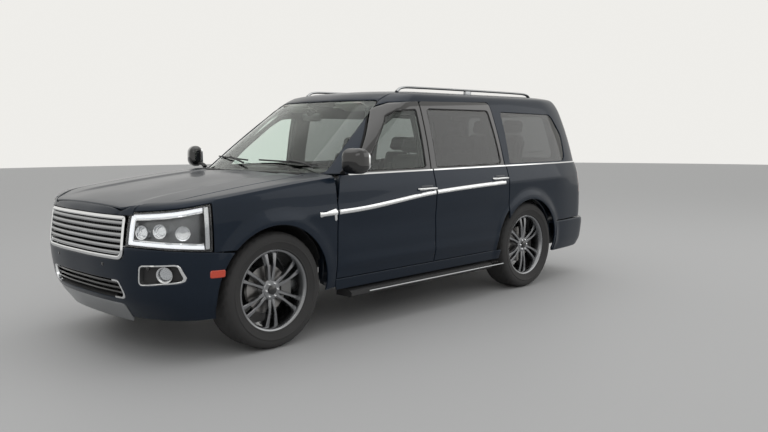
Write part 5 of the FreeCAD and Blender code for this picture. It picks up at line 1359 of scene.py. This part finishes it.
ahead = Vector((-math.sin(YAW) * math.cos(PITCH), math.cos(YAW) * math.cos(PITCH), -math.sin(PITCH)))
right = Vector((math.cos(YAW), math.sin(YAW), 0))
up = right.cross(ahead)
right, up = (right * math.cos(ROLL) + up * math.sin(ROLL), up * math.cos(ROLL) - right * math.sin(ROLL))
camera = show(bpy.data.objects.new("camera", bpy.data.cameras.new("camera")))
camera.data.lens = LENS
camera.data.clip_end = 500
camera.matrix_world = Matrix.Translation(CAMERA_PLACE) @ Matrix((right, up, -ahead)).transposed().to_4x4()
bpy.context.scene.camera = camera

floor = show(bpy.data.objects.new("floor", bpy.data.meshes.new("floor")))
edge = [(FLOOR_RADIUS * math.cos(a), FLOOR_RADIUS * math.sin(a), 0)
        for a in np.linspace(0, 2 * math.pi, FLOOR_SIDES, endpoint=False)]
floor.data.from_pydata(edge, [], [list(range(FLOOR_SIDES))])
ground = bpy.data.materials.new("ground")
ground.use_nodes = True
ground.node_tree.nodes["Principled BSDF"].inputs["Base Color"].default_value = FLOOR_COLOUR
ground.node_tree.nodes["Principled BSDF"].inputs["Roughness"].default_value = 0.6
floor.data.materials.append(ground)

world = bpy.data.worlds.new("studio")
bpy.context.scene.world = world
world.use_nodes = True
nodes, links = world.node_tree.nodes, world.node_tree.links
sky = nodes["Background"]
sky.inputs["Color"].default_value = SKY_COLOUR
sky.inputs["Strength"].default_value = 0.72
wall = nodes.new("ShaderNodeBackground")
wall.inputs["Color"].default_value = WALL_COLOUR
rays = nodes.new("ShaderNodeLightPath")
shown = rays.outputs["Is Camera Ray"]
for kind in ("Is Glossy Ray", "Is Transmission Ray"):
    larger = nodes.new("ShaderNodeMath")
    larger.operation = "MAXIMUM"
    links.new(shown, larger.inputs[0])
    links.new(rays.outputs[kind], larger.inputs[1])
    shown = larger.outputs["Value"]
choice = nodes.new("ShaderNodeMixShader")
links.new(shown, choice.inputs["Fac"])
links.new(sky.outputs["Background"], choice.inputs[1])
links.new(wall.outputs["Background"], choice.inputs[2])
links.new(choice.outputs["Shader"], nodes["World Output"].inputs["Surface"])
bpy.context.scene.view_settings.view_transform = "Standard"

# name, place, target, size, power
for name, place, target, size, power in (("overhead", (0, 0, 7.5), (0, 0, 0), (7, 10), 150),
                                         ("near_side", (8, -6, 5.5), (0, 0, 0.8), (6, 4), 70),
                                         ("far_side", (8, 7.5, 4.6), (0, 0, 1.0), (9, 5.5), 130)):
    lamp_data = bpy.data.lights.new(name, "AREA")
    lamp_data.shape, (lamp_data.size, lamp_data.size_y), lamp_data.energy = "RECTANGLE", size, power
    item = show(bpy.data.objects.new(name, lamp_data))
    item.location = place
    item.rotation_euler = (Vector(target) - Vector(place)).to_track_quat("-Z", "Y").to_euler()
    item.visible_camera = False

# Finishes of the carried-over nodes
NODE_MATERIALS = {
    "chassis": ("frame_front", "frame_middle", "frame_rear", "front_suspension", "rear_suspension"),
    "cast": ("knuckle_left", "knuckle_right", "engine_block", "driveline", "radiator"),
    "pipe": ("exhaust",), "plastic": ("fuel_tank", "wheel_liners", "cowl", "running_boards"),
    "rubber": ("spare_wheel", "tyre_front_left", "tyre_front_right", "tyre_rear_left", "tyre_rear_right"),
    "alloy": ("rim_front_left", "rim_front_right", "rim_rear_left", "rim_rear_right"),
    "carpet": ("floor_pan", "firewall"), "trim": ("dashboard", "console", "steering_wheel"),
    "leather": ("front_seats", "middle_seat", "rear_seat"), "gloss": ("mirror_left", "mirror_right"),
    "satin": ("roof_rails",), "red": ("tail_lamps",), "lens": ("headlamps",), "chrome": ("grille",),
    "paint": ("front_bumper", "rear_bumper", "tailgate"), "privacy": ("tailgate_glass",)}
for finish, names in NODE_MATERIALS.items():
    for name in names:
        node = frame["nodes"][name]
        node.data.materials.clear()
        node.data.materials.append(materials[finish])
